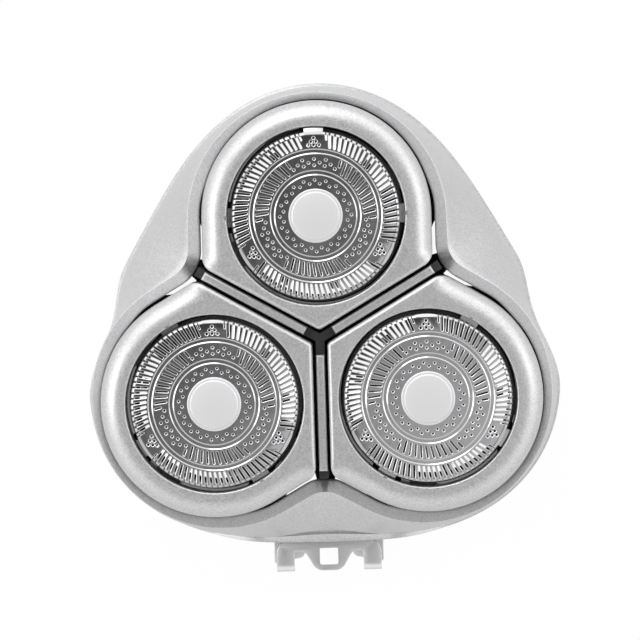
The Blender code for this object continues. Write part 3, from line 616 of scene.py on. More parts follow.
def blade_mesh():
    tooth, dip = blade_tip, blade_tip - BLADE_DIP
    foot = plate_foot + OVERLAP
    outline = ((0.0055, foot), (0.0103, foot), (0.0103, tooth), (0.00925, tooth), (0.0091, dip),
               (0.00845, dip), (0.0083, tooth), (0.0063, tooth), (0.0055, plate_top))
    bm = bmesh.new()
    face = bm.faces.new([bm.verts.new((radius, -BLADE_THICKNESS / 2, height)) for radius, height in outline])
    pulled(bm, face, (0, BLADE_THICKNESS, 0))
    for vert in bm.verts:
        vert.co.y += (vert.co.z - plate_foot) * math.tan(BLADE_RAKE)
    return finished(bm, "blade")


def cutter_mesh():
    bm = bmesh.new()
    bore = NOSE_RADIUS + GAP
    turned(bm, [(bore, plate_foot), (PLATE_RADIUS, plate_foot), (PLATE_RADIUS, plate_top),
                (bore, plate_top)], 72)
    blades = repeated(blade_mesh(), [about(math.tau * i / BLADES) for i in range(BLADES)])
    return gathered(finished(bm, "cutter"), blades)


def grained(name, dark, light, smooth, rough, grain, depth, metallic=1.0):
    """A finish whose fine grain varies its tone and its gloss, and stands a little proud."""
    material = fresh_material(name, light, metallic, rough)
    grains = noise(material, object_point(material), grain, 3.0)
    feed(material, "Base Color", tones(material, grains, dark, light))
    feed(material, "Roughness", spread(material, grains, smooth, rough))
    bumped(material, grains, depth)
    return material


cutter_steel = grained("cutter_steel", (0.46, 0.46, 0.47), (0.66, 0.66, 0.67), 0.2, 0.36, 4000.0, 0.000003)
cutter = cutter_mesh()
for k in NUMBERS:
    piece(f"cutter_{k}", cutter, cutter_steel, f"cutter_{k}", f"cutter_blades_{k}",
          pod_place[k], 25)


# Couplings.
# The moulded hub under each cutter. Its triangular socket takes the drive spindle from below,
# and its nose runs in the hub cap's stem.
COUPLING_RADIUS = 0.0024
FLANGE_RADIUS = 0.0036
FLANGE_HEIGHT = 0.0007
SOCKET_RADIUS = 0.0015
COUPLING_EDGE = 0.00015
coupling_foot, nose_top = levels_of("cutter_coupling_1")
flange_foot = plate_foot - GAP - FLANGE_HEIGHT


def coupling_mesh():
    bm = bmesh.new()
    edge, flange_top = COUPLING_EDGE, flange_foot + FLANGE_HEIGHT
    points = [(0, coupling_foot), (COUPLING_RADIUS - edge, coupling_foot),
              (COUPLING_RADIUS, coupling_foot + edge)]
    points += corner(edge, COUPLING_RADIUS + edge, flange_foot - edge, math.pi, 3, -math.pi / 2)
    points += [(FLANGE_RADIUS - edge, flange_foot)]
    points += corner(edge, FLANGE_RADIUS - edge, flange_foot + edge, -math.pi / 2, 3)
    points += [(FLANGE_RADIUS, flange_top), (NOSE_RADIUS, flange_top), (NOSE_RADIUS, nose_top - edge),
               (NOSE_RADIUS - edge, nose_top), (0, nose_top)]
    turned(bm, points, 48)
    socket = bmesh.new()
    depth = flange_foot - coupling_foot + GAP
    bmesh.ops.create_cone(socket, cap_ends=True, segments=3, radius1=SOCKET_RADIUS, radius2=SOCKET_RADIUS,
                          depth=depth, matrix=Matrix.Translation((0, 0, flange_foot - depth / 2)))
    rounded(socket, uprights_of(socket), 0.0003, 4)
    return carved(finished(bm, "coupling"), finished(socket, "socket"))


white_moulding = grained("white_moulding", (0.66, 0.66, 0.63), (0.74, 0.74, 0.72), 0.38, 0.5, 3000.0,
                         0.000004, 0.0)
coupling = coupling_mesh()
for k in NUMBERS:
    piece(f"coupling_{k}", coupling, white_moulding, f"cutter_{k}", f"cutter_coupling_{k}",
          pod_place[k])


# Retaining rings.
# A grey moulded ring that holds the guard up and is turned in the pod's bayonet. Three spokes
# carry the collar round the coupling, and two thin shields close the outer track from below.
RING_BAND = 0.0008
RING_EDGE = 0.00012
RING_COLLAR = 0.0012
SPOKE_WIDTH = 0.0018
LUG_HEIGHT = 0.0008
LUG_LENGTH = 0.0014
SHIELD_RADIUS = 0.0091
SHIELD_MIDDLE = math.radians(102)
SHIELD_HALF = math.radians(32)
SHIELD_HEIGHT = 0.0005
ring_foot, ring_top = levels_of("retaining_ring_1")
ring_outside = OPENING - GAP


def band_section(inner, outer):
    """Section of a flat hoop with broken edges."""
    edge = RING_EDGE
    return [(inner + edge, ring_foot), (outer - edge, ring_foot), (outer, ring_foot + edge),
            (outer, ring_top - edge), (outer - edge, ring_top), (inner + edge, ring_top),
            (inner, ring_top - edge), (inner, ring_foot + edge)]


def ring_mesh():
    bm = bmesh.new()
    turned(bm, band_section(ring_outside - RING_BAND, ring_outside), 128)
    band = finished(bm, "ring")
    bm = bmesh.new()
    collar = COUPLING_RADIUS + GAP
    turned(bm, band_section(collar, collar + RING_COLLAR), 64)
    band = gathered(band, finished(bm, "collar"))
    start, end = collar + RING_COLLAR / 2, ring_outside - RING_BAND / 2
    bm = bmesh.new()
    block(bm, (start, -SPOKE_WIDTH / 2, ring_foot + GAP / 2), (end, SPOKE_WIDTH / 2, ring_top - GAP / 2))
    rounded(bm, [e for e in bm.edges if abs(e.verts[0].co.x - e.verts[1].co.x) > SPOKE_WIDTH], 0.0002, 3)
    spokes = repeated(finished(bm, "spoke"), [about(math.pi / 2 + TURN * i) for i in range(3)])
    lugs = bmesh.new()
    for key in (math.pi / 2, 0.0, math.pi):
        wedge(lugs, ring_outside - RING_BAND / 2, ring_outside + LUG_LENGTH, key + LOCK_TURN, KEY_HALF,
              ring_foot + OVERLAP, ring_foot + LUG_HEIGHT)
    for side in (-1, 1):
        wedge(lugs, SHIELD_RADIUS, ring_outside - RING_BAND / 2, math.pi / 2 + side * SHIELD_MIDDLE,
              SHIELD_HALF, ring_foot + 2 * OVERLAP, ring_foot + SHIELD_HEIGHT)
    return gathered(band, spokes, finished(lugs, "lugs"))


grey_moulding = grained("grey_moulding", (0.17, 0.175, 0.18), (0.26, 0.265, 0.27), 0.4, 0.55, 3000.0,
                        0.000005, 0.0)
ring = ring_mesh()
for k in NUMBERS:
    piece(f"ring_{k}", ring, grey_moulding, f"ring_{k}", f"retaining_ring_{k}", pod_place[k])


# Pod springs.
# A wave of thin spring strip under each pod's round side. It keeps the imported strip's shape,
# and stays rigid on the head.
spring_steel = grained("spring_steel", (0.42, 0.42, 0.43), (0.6, 0.6, 0.61), 0.24, 0.4, 6000.0, 0.000002)
for k in NUMBERS:
    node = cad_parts[f"pod_spring_{k}"]
    bm = bmesh.new()
    bm.from_mesh(node.data)
    bmesh.ops.transform(bm, matrix=node.matrix_world, verts=bm.verts)
    spring = piece(f"spring_{k}", finished(bm, "spring"), spring_steel, "head", node.name)
    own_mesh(spring)


# Groove bars.
# A slim silver bar laid in each groove, with rounded long edges and square ends.
BAR_WIDTH = 0.0012
BAR_START = 0.0022
BAR_LENGTH = 0.0160
bar_foot, bar_top = levels_of("groove_bar_1")


def bar_mesh():
    bm = bmesh.new()
    block(bm, (-BAR_WIDTH / 2, BAR_START, bar_foot), (BAR_WIDTH / 2, BAR_START + BAR_LENGTH, bar_top))
    rounded(bm, [e for e in bm.edges if all(v.co.z > bar_top - GAP for v in e.verts)], 0.0003, 4)
    return finished(bm, "groove_bar")


bar = bar_mesh()
for k in NUMBERS:
    piece(f"bar_{k}", bar, silver_paint, "head", f"groove_bar_{k}", valley_place[k])


# Housing.
# One flared shell in the pods' paint. A band runs round its rim and arches over the hinge. The
# skirt above it is nearly upright beside the pods, sweeps in at the valleys and has a shallow
# waist on each flank. The crest is rounded, and inside it the wall drops beside the pods.
COLUMNS = 288
POD_GAP = 0.00045
LOBE_GAP = 0.0002
RIM_BAND = 0.0025
RIM_STEP = 0.0004
ARCH_RISE = 0.0037
ARCH_HALF = math.radians(18)
ARCH_END = math.radians(34)
SHELL = 0.0015
VALLEY_ROUND = 0.0060
FLARE_APEX = 0.00211
FLARE_VALLEY = 0.0096
WAIST_DEPTH = 0.0017
WAIST_ANGLE = math.radians(87)
WAIST_SPAN = math.radians(18)
CREST_APEX = 0.0008
CREST_VALLEY = 0.0018
CREST_DROP = 0.0008
CREST_ROUND = 0.0002
CREST_WIDTH = 0.0003
HOUSING_EDGE = 0.00012
GAP_WALL_DEPTH = 0.0026
SKIRT_BULGE = 1.7
PIN_RADIUS = 0.0006
PIN_HEIGHT = 0.0034
PIN_INSET = 0.0030
PIN_SUPPORT = 0.0018
NOTCH_HALF = 0.0080
NOTCH_HEIGHT = 0.0051
BOSS_RADIUS = 0.0017
SCREW_RADIUS = 0.0008
SCREW_BEYOND_PODS = 0.0023
DECK_THICKNESS = 0.0015
LENS_HALF = 0.0076
LENS_RISE = 0.0022
LENS_DEPTH = 0.00022
crest_height = levels_of("head_housing")[1]
gap_wall_foot = crest_height - CREST_DROP - GAP_WALL_DEPTH
deck_foot = levels_of("chassis")[0]
deck_top = deck_foot + DECK_THICKNESS
screw_foot, screw_top = levels_of("chassis_screw_1")


def eased(value, start, end):
    """0 before a start, 1 after an end and smooth between them."""
    share = min(max((value - start) / (end - start), 0.0), 1.0)
    return share * share * (3 - 2 * share)


def off_pod(angle):
    """Angle to the nearest pod's middle line."""
    return abs((angle + HALF_TURN) % TURN - HALF_TURN)


def gap_radius(angle, clearance):
    """Distance from the head's middle to a line round the pods, at an angle from a pod's middle."""
    angle = off_pod(angle)
    side = POD_SIDE + clearance
    valley = max(VALLEY_ROUND - clearance, GAP)
    centre = (side + valley) / math.sin(HALF_TURN)
    if angle > math.atan2(side, centre * math.cos(HALF_TURN)):
        lean = HALF_TURN - angle
        return centre * math.cos(lean) - math.sqrt(valley ** 2 - (centre * math.sin(lean)) ** 2)
    if angle > math.atan2(side, pitch):
        return side / math.sin(angle)
    return pitch * math.cos(angle) + math.sqrt(side ** 2 - (pitch * math.sin(angle)) ** 2)


def swing(angle, apex, valley):
    """A value that swings between the lobes' apexes and the valleys."""
    return (apex + valley) / 2 + (apex - valley) / 2 * math.cos(3 * angle)


def gap_line(angle, beyond=0.0):
    """The slit round the pods, which narrows along their round sides."""
    share = eased(off_pod(angle), math.radians(34), math.radians(42))
    return gap_radius(angle, LOBE_GAP + (POD_GAP - LOBE_GAP) * share + beyond)


def rim_radius(angle, _=0.0):
    """Distance to the rim, the same at every height."""
    off_waist = abs(abs((angle + math.pi) % math.tau - math.pi) - WAIST_ANGLE) / WAIST_SPAN
    waist = WAIST_DEPTH * (0.5 + 0.5 * math.cos(math.pi * min(off_waist, 1.0)))
    apex, valley = gap_radius(0, POD_GAP) + FLARE_APEX, gap_radius(HALF_TURN, POD_GAP) + FLARE_VALLEY
    return swing(angle, apex, valley) - waist


def crest_radius(angle, inward=0.0):
    """Distance to the top edge of the skirt, or to a line inside it."""
    return gap_radius(angle, POD_GAP + swing(angle, CREST_APEX, CREST_VALLEY) - inward)


def band_top(angle):
    """Top of the rim band, which arches over the hinge."""
    off_hinge = math.pi - abs((angle + math.pi) % math.tau - math.pi)
    share = min(max((off_hinge - ARCH_HALF) / (ARCH_END - ARCH_HALF), 0.0), 1.0)
    return RIM_BAND + ARCH_RISE * (0.5 + 0.5 * math.cos(math.pi * share))


def skirt_radius(angle, height):
    rise = max((height - RIM_BAND) / (crest_height - RIM_BAND), 0.0)
    rim, crest = rim_radius(angle) - RIM_STEP, crest_radius(angle)
    return crest + (rim - crest) * (1 - rise ** SKIRT_BULGE)


def inner_radius(angle, height):
    low = rim_radius(angle) - RIM_STEP - SHELL
    high = max(skirt_radius(angle, gap_wall_foot) - SHELL, gap_radius(angle, POD_GAP) + GAP)
    return low + (high - low) * height / gap_wall_foot


def round_the_head(bm, radius_at, height_at):
    """A loop whose distance and height depend on the angle from pod 1's middle."""
    known = len(bm.edges)
    for vert in bmesh.ops.create_circle(bm, segments=COLUMNS, radius=1.0)["verts"]:
        angle = math.atan2(vert.co.y, vert.co.x) - math.pi / 2
        height = height_at(angle) if callable(height_at) else height_at
        vert.co *= radius_at(angle, height)
        vert.co.z = height
    bm.edges.ensure_lookup_table()
    return bm.edges[known:]


def rod(bm, radius, start, end, sides=32):
    """A round bar between two points, with its edges broken."""
    start, end = Vector(start), Vector(end)
    length, edge = (end - start).length, radius / 6
    turn = (end - start).to_track_quat("Z", "Y").to_matrix().to_4x4()
    section = [(0, 0), (radius - edge, 0), (radius, edge), (radius, length - edge), (radius - edge, length),
               (0, length)]
    known = len(bm.verts)
    turned(bm, section, sides)
    bm.verts.ensure_lookup_table()
    bmesh.ops.transform(bm, matrix=Matrix.Translation(start) @ turn, verts=bm.verts[known:])


def skirt_levels():
    """The skirt from the seam of the rim band to its rounded crest."""
    levels = []
    for step in range(19):
        def height_at(angle, share=step / 18):
            start = band_top(angle)
            return start + (crest_height - CREST_ROUND - start) * share
        levels.append((skirt_radius, height_at))
    for inward, drop in ((0.00002, 0.0001), (0.00006, 0.00004), (0.00012, 0.0)):
        levels.append((lambda a, h, inward=inward: crest_radius(a, inward), crest_height - drop))
    return levels


def housing_mesh():
    bm = bmesh.new()
    edge = HOUSING_EDGE
    lip = crest_height - CREST_DROP
    levels = [(lambda a, h: rim_radius(a) - edge, 0.0), (rim_radius, edge),
              (rim_radius, lambda a: band_top(a) - RIM_STEP - edge),
              (lambda a, h: rim_radius(a) - edge / 2, lambda a: band_top(a) - RIM_STEP),
              (lambda a, h: rim_radius(a) - RIM_STEP - edge, lambda a: band_top(a) - RIM_STEP + edge)]
    levels += skirt_levels()
    levels += [(lambda a, h: crest_radius(a, CREST_WIDTH), crest_height - edge),
               (lambda a, h: gap_line(a, CREST_WIDTH), lip + CREST_ROUND),
               (lambda a, h: gap_line(a, edge * 2 / 3), lip),
               (lambda a, h: gap_line(a), lip - edge), (lambda a, h: gap_line(a), gap_wall_foot),
               (inner_radius, gap_wall_foot - GAP), (inner_radius, 0.0)]
    skinned(bm, [round_the_head(bm, radius_at, height_at) for radius_at, height_at in levels])
    shell = finished(bm, "housing")
    rim_y = -rim_radius(math.pi)
    pin_y = rim_y + PIN_INSET
    bore = PIN_RADIUS + GAP
    tool = bmesh.new()
    block(tool, (-NOTCH_HALF, rim_y - SHELL, -GAP), (NOTCH_HALF, rim_y + 3 * SHELL, NOTCH_HEIGHT))
    shell = carved(shell, gathered(finished(tool, "notch"), lens_mesh()))
    lug, hole = bmesh.new(), bmesh.new()
    block(lug, (NOTCH_HALF + GAP / 3, rim_y + SHELL / 2, PIN_HEIGHT - 2 * bore),
          (NOTCH_HALF + PIN_SUPPORT + GAP, pin_y + 2 * bore, NOTCH_HEIGHT + SHELL / 2))
    rod(hole, bore, (NOTCH_HALF - GAP, pin_y, PIN_HEIGHT), (NOTCH_HALF + PIN_SUPPORT, pin_y, PIN_HEIGHT), 24)
    lug = carved(finished(lug, "pin_lug"), finished(hole, "pin_hole"))
    boss = bmesh.new()
    top = gap_wall_foot + 2 * GAP
    hole_top, hole_radius = screw_top + GAP, SCREW_RADIUS + GAP
    turned(boss, [(0, hole_top), (hole_radius, hole_top), (hole_radius, deck_top + GAP),
                  (BOSS_RADIUS, deck_top + GAP), (BOSS_RADIUS, top), (0, top)], 32)
    bosses = repeated(finished(boss, "boss"), [Matrix.Translation((*valley, 0)) for valley in valleys])
    return gathered(shell, repeated(lug, (Matrix(), Matrix.Diagonal((-1, 1, 1, 1)))), bosses)


def lens_mesh():
    """Tool for the shallow lens-shaped recess above the seam at the hinge."""
    half, rise, depth = LENS_HALF, LENS_RISE, LENS_DEPTH
    seam = band_top(math.pi)
    foot = skirt_radius(math.pi, seam)
    head = skirt_radius(math.pi, seam + rise)
    slope = math.atan2(foot - head, rise)
    radius = (half ** 2 + rise ** 2) / (2 * rise)
    bm = bmesh.new()
    bmesh.ops.create_cone(bm, cap_ends=True, segments=160, radius1=radius, radius2=radius, depth=0.002,
                          matrix=Matrix.Translation((0, rise - radius, depth - 0.001 + GAP)))
    bmesh.ops.bisect_plane(bm, geom=bm.verts[:] + bm.edges[:] + bm.faces[:], dist=1e-7, clear_inner=True,
                           plane_co=(0, GAP / 2, 0), plane_no=(0, 1, 0))
    bmesh.ops.holes_fill(bm, edges=bm.edges, sides=0)
    face_on = Matrix(((1, 0, 0, 0), (0, 0, 1, 0), (0, 1, 0, 0), (0, 0, 0, 1)))
    bmesh.ops.transform(bm, verts=bm.verts, matrix=Matrix.Translation((0, -foot, seam))
                        @ Matrix.Rotation(-slope, 4, "X") @ face_on)
    bmesh.ops.translate(bm, verts=bm.verts, vec=(0, -GAP, 0))
    return finished(bm, "lens")


valley_reach = gap_radius(HALF_TURN, POD_GAP) + SCREW_BEYOND_PODS
valleys = [Matrix.Rotation(TURN * (k - 0.5), 2) @ Vector((0, valley_reach)) for k in NUMBERS]
housing = housing_mesh()
piece("housing", housing, silver_paint, "head", "head_housing", head_place)


# Chassis.
# The black moulding under the pods: a deck with three wells and rinse slots, a stop in the
# middle, a spine that carries the bar in each groove, and the trunnions that the pods tilt on.
BAR_HEIGHT = 0.0010
SPINE_WIDTH = 0.0012
WELL_RADIUS = 0.01115
STOP_RADIUS = 0.0050
TRUNNION_RADIUS = 0.0007
TRUNNION_LENGTH = 0.0019
RINSE_WIDTH = 0.0016
RINSE_MIDDLE = math.radians(43)
RINSE_HALF = math.radians(29)


def chassis_mesh():
    bm = bmesh.new()
    loops = [round_the_head(bm, lambda a, h: inner_radius(a, deck_top) - GAP, height)
             for height in (deck_foot, deck_top)]
    skinned(bm, loops, closed=False)
    bmesh.ops.holes_fill(bm, edges=bm.edges, sides=0)
    deck = finished(bm, "chassis")
    turns = [about(TURN * i) for i in range(3)]
    valley_turns = [about(TURN * (i + 0.5)) for i in range(3)]
    below, above = deck_foot - GAP, deck_top + GAP
    well, slots, spine, stop, trunnions = (bmesh.new() for _ in range(5))
    rod(well, WELL_RADIUS, (0, pitch, below - WELL_RADIUS), (0, pitch, above + WELL_RADIUS), 128)
    under_gap = VALLEY_ROUND - POD_GAP
    for side in (-1, 1):
        wedge(slots, under_gap - RINSE_WIDTH / 2, under_gap + RINSE_WIDTH / 2,
              side * RINSE_MIDDLE - math.pi / 2, RINSE_HALF, below, above)
    to_valley = Matrix.Translation((0, (POD_SIDE + VALLEY_ROUND) / math.sin(HALF_TURN), 0))
    bmesh.ops.transform(slots, matrix=to_valley, verts=slots.verts)
    rod(slots, SCREW_RADIUS + GAP, (0, valley_reach, below), (0, valley_reach, above), 24)
    deck = carved(deck, gathered(repeated(finished(well, "well"), turns),
                                 repeated(finished(slots, "rinse_slots"), valley_turns)))
    block(spine, (-SPINE_WIDTH / 2, -SPINE_WIDTH / 4, deck_top - GAP),
          (SPINE_WIDTH / 2, gap_radius(HALF_TURN, POD_GAP) - GAP, bar_top - BAR_HEIGHT - GAP))
    spine = finished(spine, "spine")
    star = carved(repeated(spine, valley_turns[:1]), repeated(spine, valley_turns[1:]), "UNION")
    rod(stop, STOP_RADIUS, (0, 0, deck_top - GAP), (0, 0, pod_foot - GAP), 64)
    reach = pitch - PIVOT_INSET
    face_x = (POD_FACE - PIVOT_INSET * math.sin(HALF_TURN)) / math.cos(HALF_TURN)
    groove_x = reach * math.tan(HALF_TURN)
    height = pod_foot + PIVOT_ABOVE_FOOT
    for side in (-1, 1):
        rod(trunnions, TRUNNION_RADIUS, (side * groove_x, reach, height),
            (side * (face_x - TRUNNION_LENGTH), reach, height), 24)
    return gathered(deck, star, finished(stop, "stop"), repeated(finished(trunnions, "trunnions"), turns))


black_moulding = grained("black_moulding", (0.022, 0.022, 0.023), (0.045, 0.045, 0.047), 0.4, 0.6, 2600.0,
                         0.000006, 0.0)
piece("chassis", chassis_mesh(), black_moulding, "head", "chassis", head_place)


# Chassis screws.
# Three pan-head screws with a cross recess, driven up through the deck into the bosses.
SCREW_HEAD = 0.0017
HEAD_ROUND = 0.0006
THREAD_PITCH = 0.00035
THREAD_DEPTH = 0.00012
RECESS_REACH = 0.0009
RECESS_HALF = 0.00017
RECESS_DEPTH = 0.0005


def screw_mesh():
    seat = deck_foot - GAP
    root = SCREW_RADIUS - THREAD_DEPTH
    points = [(0, screw_foot), (SCREW_HEAD - HEAD_ROUND, screw_foot)]
    points += corner(HEAD_ROUND, SCREW_HEAD - HEAD_ROUND, screw_foot + HEAD_ROUND, -math.pi / 2, 5)
    points += [(SCREW_HEAD, seat), (root, seat)]
    turns = int((screw_top - GAP - seat - THREAD_PITCH) / THREAD_PITCH)
    for i in range(turns):
        start = seat + THREAD_PITCH * (i + 1)
        points += [(root, start), (SCREW_RADIUS, start + THREAD_PITCH / 2)]
    points += [(SCREW_RADIUS - GAP, screw_top), (0, screw_top)]
    bm = bmesh.new()
    turned(bm, points, 32)
    screw = finished(bm, "screw")
    recess, across = bmesh.new(), bmesh.new()
    reach, half = RECESS_REACH, RECESS_HALF
    block(recess, (-reach, -half, screw_foot - GAP), (reach, half, screw_foot + RECESS_DEPTH))
    block(across, (-half, -reach, screw_foot - 2 * GAP), (half, reach, screw_foot + RECESS_DEPTH + GAP / 3))
    return carved(screw, carved(finished(recess, "recess"), finished(across, "recess"), "UNION"))


screw_steel = grained("screw_steel", (0.4, 0.4, 0.41), (0.62, 0.62, 0.63), 0.26, 0.42, 5000.0, 0.000003)
screw = screw_mesh()
for k in NUMBERS:
    piece(f"screw_{k}", screw, screw_steel, "head", f"chassis_screw_{k}",
          valley_place[k] @ Matrix.Translation((0, valley_reach, 0)))


# Hinge pin.
# A plain ground pin across the notch in the rim.
rim_y = -rim_radius(math.pi)
pin_y = rim_y + PIN_INSET
bm = bmesh.new()
pin_end = NOTCH_HALF + PIN_SUPPORT - GAP
rod(bm, PIN_RADIUS, (-pin_end, pin_y, PIN_HEIGHT), (pin_end, pin_y, PIN_HEIGHT))
piece("pin", finished(bm, "pin"), screw_steel, "head", "hinge_pin", head_place)


# Hinge clip.
# Bent bright sheet on two knuckles. The upper leaf has two legs with rounded shoulders and
# turned-down ends, and a tongue with a window between them. A lower leaf shows beside it.
CLIP_HALF = 0.0077
CLIP_SHEET = 0.0005
CLIP_LEAF = 0.00738
LEG_WIDTH = 0.0025
LEG_BEND = 0.0031
LEG_END = 0.0049
TONGUE_END = 0.0041
WINDOW_HALF = 0.0013
CLIP_BAND = 0.0013
CLIP_EDGE = 0.00008
BEND_RADIUS = 0.0011
BEND_STEP = 0.0002
KNUCKLE = PIN_RADIUS + GAP + CLIP_SHEET
clip_top = PIN_HEIGHT + KNUCKLE


def sheet(outline, height, rounds):
    """A piece of sheet, alike on both sides, whose corners are rounded as the numbered sizes say."""
    bm = bmesh.new()
    verts = [bm.verts.new((x, rim_y - out, height)) for x, out in outline]
    bm.faces.new(verts)
    for number, size in rounds.items():
        for vert in (verts[number], verts[-1 - number]):
            rounded(bm, [vert], size, 6, "VERTICES")
    pulled(bm, bm.faces[:][0], (0, 0, -CLIP_SHEET))
    bmesh.ops.recalc_face_normals(bm, faces=bm.faces)
    rounded(bm, [e for e in bm.edges if abs(e.verts[0].co.z - e.verts[1].co.z) < 1e-6], CLIP_EDGE, 2)
    return finished(bm, "sheet")


def both_sides(points):
    """Points from right to left, mirrored about the middle."""
    return points + [(-x, out) for x, out in reversed(points)]


def bent_down(mesh):
    """Turns the ends of the legs down along a quarter round."""
    bm = bmesh.new()
    bm.from_mesh(mesh)
    start, radius = rim_y - LEG_BEND, BEND_RADIUS
    for step in range(8):
        bmesh.ops.bisect_plane(bm, geom=bm.verts[:] + bm.edges[:] + bm.faces[:], dist=1e-7,
                               plane_co=(0, start - step * BEND_STEP, 0), plane_no=(0, 1, 0))
    for vert in bm.verts:
        beyond = start - vert.co.y
        if beyond > 0 and abs(vert.co.x) > CLIP_LEAF - LEG_WIDTH - GAP:
            bend = min(beyond / radius, math.pi / 2)
            rest = beyond - bend * radius
            lift = vert.co.z - (clip_top - radius)
            vert.co.y = start - math.sin(bend) * lift
            vert.co.z = clip_top - radius + math.cos(bend) * lift - rest
    return finished(bm, "bent")


def clip_mesh():
    inside = CLIP_LEAF - LEG_WIDTH
    outline = both_sides([(CLIP_LEAF, -0.0004), (CLIP_LEAF, LEG_END), (inside, LEG_END), (inside, CLIP_BAND),
                          (0.0034, CLIP_BAND), (0.0018, TONGUE_END)])
    upper = sheet(outline, clip_top, {0: 0.0021, 1: 0.0002, 2: 0.0002, 3: 0.0004, 4: 0.0007, 5: 0.0009})
    window = bmesh.new()
    block(window, (-WINDOW_HALF, rim_y - 0.0033, PIN_HEIGHT), (WINDOW_HALF, rim_y - 0.0008, clip_top + GAP))
    rounded(window, uprights_of(window), 0.0003, 3)
    upper = bent_down(carved(upper, finished(window, "window")))
    outline = both_sides([(CLIP_HALF, -0.0030), (CLIP_HALF, 0.0030), (inside + 0.0004, 0.0030),
                          (inside, 0.0024), (0.0036, 0.0022), (0.0032, 0.0010)])
    lower = sheet(outline, clip_top - CLIP_SHEET + OVERLAP, {1: 0.0004, 3: 0.0003, 4: 0.0005})
    knuckle = bmesh.new()
    bore = PIN_RADIUS + GAP
    turned(knuckle, [(bore, 0), (KNUCKLE, 0), (KNUCKLE, LEG_WIDTH), (bore, LEG_WIDTH)], 40)
    along_pin = (Matrix.Translation((CLIP_HALF - LEG_WIDTH, pin_y, PIN_HEIGHT))
                 @ Matrix.Rotation(math.pi / 2, 4, "Y"))
    bmesh.ops.transform(knuckle, verts=knuckle.verts, matrix=along_pin)
    knuckles = repeated(finished(knuckle, "knuckle"), (Matrix(), Matrix.Diagonal((-1, 1, 1, 1))))
    return gathered(upper, lower, knuckles)


clip_steel = grained("clip_steel", (0.84, 0.84, 0.85), (0.94, 0.94, 0.95), 0.3, 0.42, 3500.0, 0.000003)
piece("clip", clip_mesh(), clip_steel, "clip", "hinge_clip", head_place)


# Floor, light and camera.
floor = bpy.data.objects.new("floor", bpy.data.meshes.new("floor"))
bm = bmesh.new()
bmesh.ops.create_grid(bm, x_segments=1, y_segments=1, size=1.5)
bm.to_mesh(floor.data)
bm.free()
bpy.context.collection.objects.link(floor)
white_floor = fresh_material("white_floor", (0.6, 0.6, 0.6), 0.0, 0.6)
seen = add(white_floor, "ShaderNodeLightPath")
glow = add(white_floor, "ShaderNodeEmission", Color=(1, 1, 1, 1), Strength=1.04)
shown = add(white_floor, "ShaderNodeMath", {"operation": "MULTIPLY_ADD"}, _0=seen.outputs["Is Glossy Ray"],
            _1=0.4, _2=seen.outputs["Is Camera Ray"])
share = add(white_floor, "ShaderNodeMath", {"operation": "MULTIPLY"}, _0=shown.outputs[0], _1=0.92)
mixed = add(white_floor, "ShaderNodeMixShader", _0=share.outputs[0],
            _1=white_floor.node_tree.nodes["Principled BSDF"].outputs[0], _2=glow.outputs[0])
white_floor.node_tree.links.new(mixed.outputs[0], white_floor.node_tree.nodes["Material Output"].inputs[0])
floor.data.materials.append(white_floor)

CAMERA_DISTANCE = 0.610
PHOTO_PIXEL = 0.0001367
PHOTO_SIZE = 640
LEAN_X, LEAN_Y = math.radians(1.5), math.radians(2.1)
ROLL = math.radians(1.7)
camera_data = bpy.data.cameras.new("camera")
camera_data.sensor_width = 36
camera_data.lens = camera_data.sensor_width * CAMERA_DISTANCE / (PHOTO_PIXEL * PHOTO_SIZE)
camera_data.clip_end = 10
camera = bpy.data.objects.new("camera", camera_data)
bpy.context.collection.objects.link(camera)
up = Vector((math.sin(ROLL), math.cos(ROLL), 0))
right = Vector((math.cos(ROLL), -math.sin(ROLL), 0))
target = Vector((*head_middle, guard_top)) + PHOTO_PIXEL * (0.7 * right + 19.4 * up)
back = Vector((math.sin(LEAN_X), math.sin(LEAN_Y), 1)).normalized()
camera_right = up.cross(back).normalized()
camera_up = back.cross(camera_right)
turn = Matrix((camera_right, camera_up, back)).transposed().to_4x4()
camera.matrix_world = Matrix.Translation(target + back * CAMERA_DISTANCE) @ turn
bpy.context.scene.camera = camera


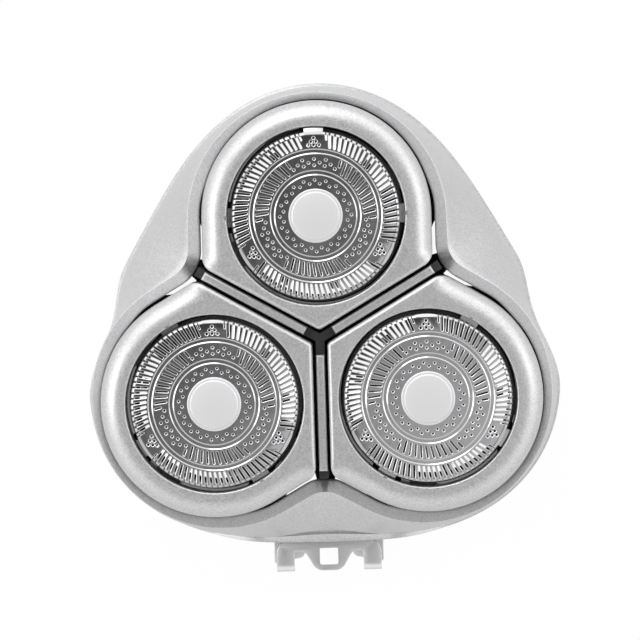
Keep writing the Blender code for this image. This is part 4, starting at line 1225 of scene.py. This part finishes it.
def soft_lamp(name, place, size, power):
    data = bpy.data.lights.new(name, "AREA")
    data.shape = "DISK"
    data.size = size
    data.energy = power
    lamp = bpy.data.objects.new(name, data)
    lamp.location = place
    lamp.rotation_euler = (-Vector(place)).to_track_quat("-Z", "Y").to_euler()
    bpy.context.collection.objects.link(lamp)


soft_lamp("lamp_back", (-0.15, 0.45, 0.45), 0.35, 0.6)
soft_lamp("lamp_left", (-0.5, 0.05, 0.4), 0.3, 0.4)
soft_lamp("lamp_right", (0.5, 0.1, 0.35), 0.3, 0.2)


def studio_world():
    """A pale dome: darker straight up, where the flat guards look, lighter all round and at the back."""
    world = bpy.data.worlds.new("studio")
    world.use_nodes = True
    heading = add(world, "ShaderNodeTexCoord").outputs["Generated"]
    parts = add(world, "ShaderNodeSeparateXYZ", Vector=heading)
    level = add(world, "ShaderNodeVectorMath", {"operation": "MULTIPLY"}, _0=heading, _1=(1, 1, 0))
    lean = add(world, "ShaderNodeVectorMath", {"operation": "LENGTH"}, _0=level.outputs[0]).outputs["Value"]

    def sum_of(value, factor, more):
        return add(world, "ShaderNodeMath", {"operation": "MULTIPLY_ADD"}, _0=value, _1=factor,
                   _2=more).outputs[0]

    def eased_by_lean(start, end, low, high):
        return add(world, "ShaderNodeMapRange", {"interpolation_type": "SMOOTHSTEP"}, Value=lean,
                   From_Min=start, From_Max=end, To_Min=low, To_Max=high).outputs["Result"]

    dome = sum_of(eased_by_lean(0.2, 0.95, 0.24, 1.25), sum_of(parts.outputs["Y"], 0.3, 1.0), 0.0)
    slope = sum_of(parts.outputs["Y"], -7.0, sum_of(parts.outputs["X"], 7.0, 0.15))
    near = add(world, "ShaderNodeClamp", Value=slope, Min=0.04, Max=0.8).outputs["Result"]
    sky = add(world, "ShaderNodeMix", _0=eased_by_lean(0.08, 0.28, 0.0, 1.0), _2=near, _3=dome).outputs[0]
    world.node_tree.links.new(sky, world.node_tree.nodes["Background"].inputs["Color"])
    return world


bpy.context.scene.world = studio_world()
bpy.context.scene.view_settings.view_transform = "Standard"
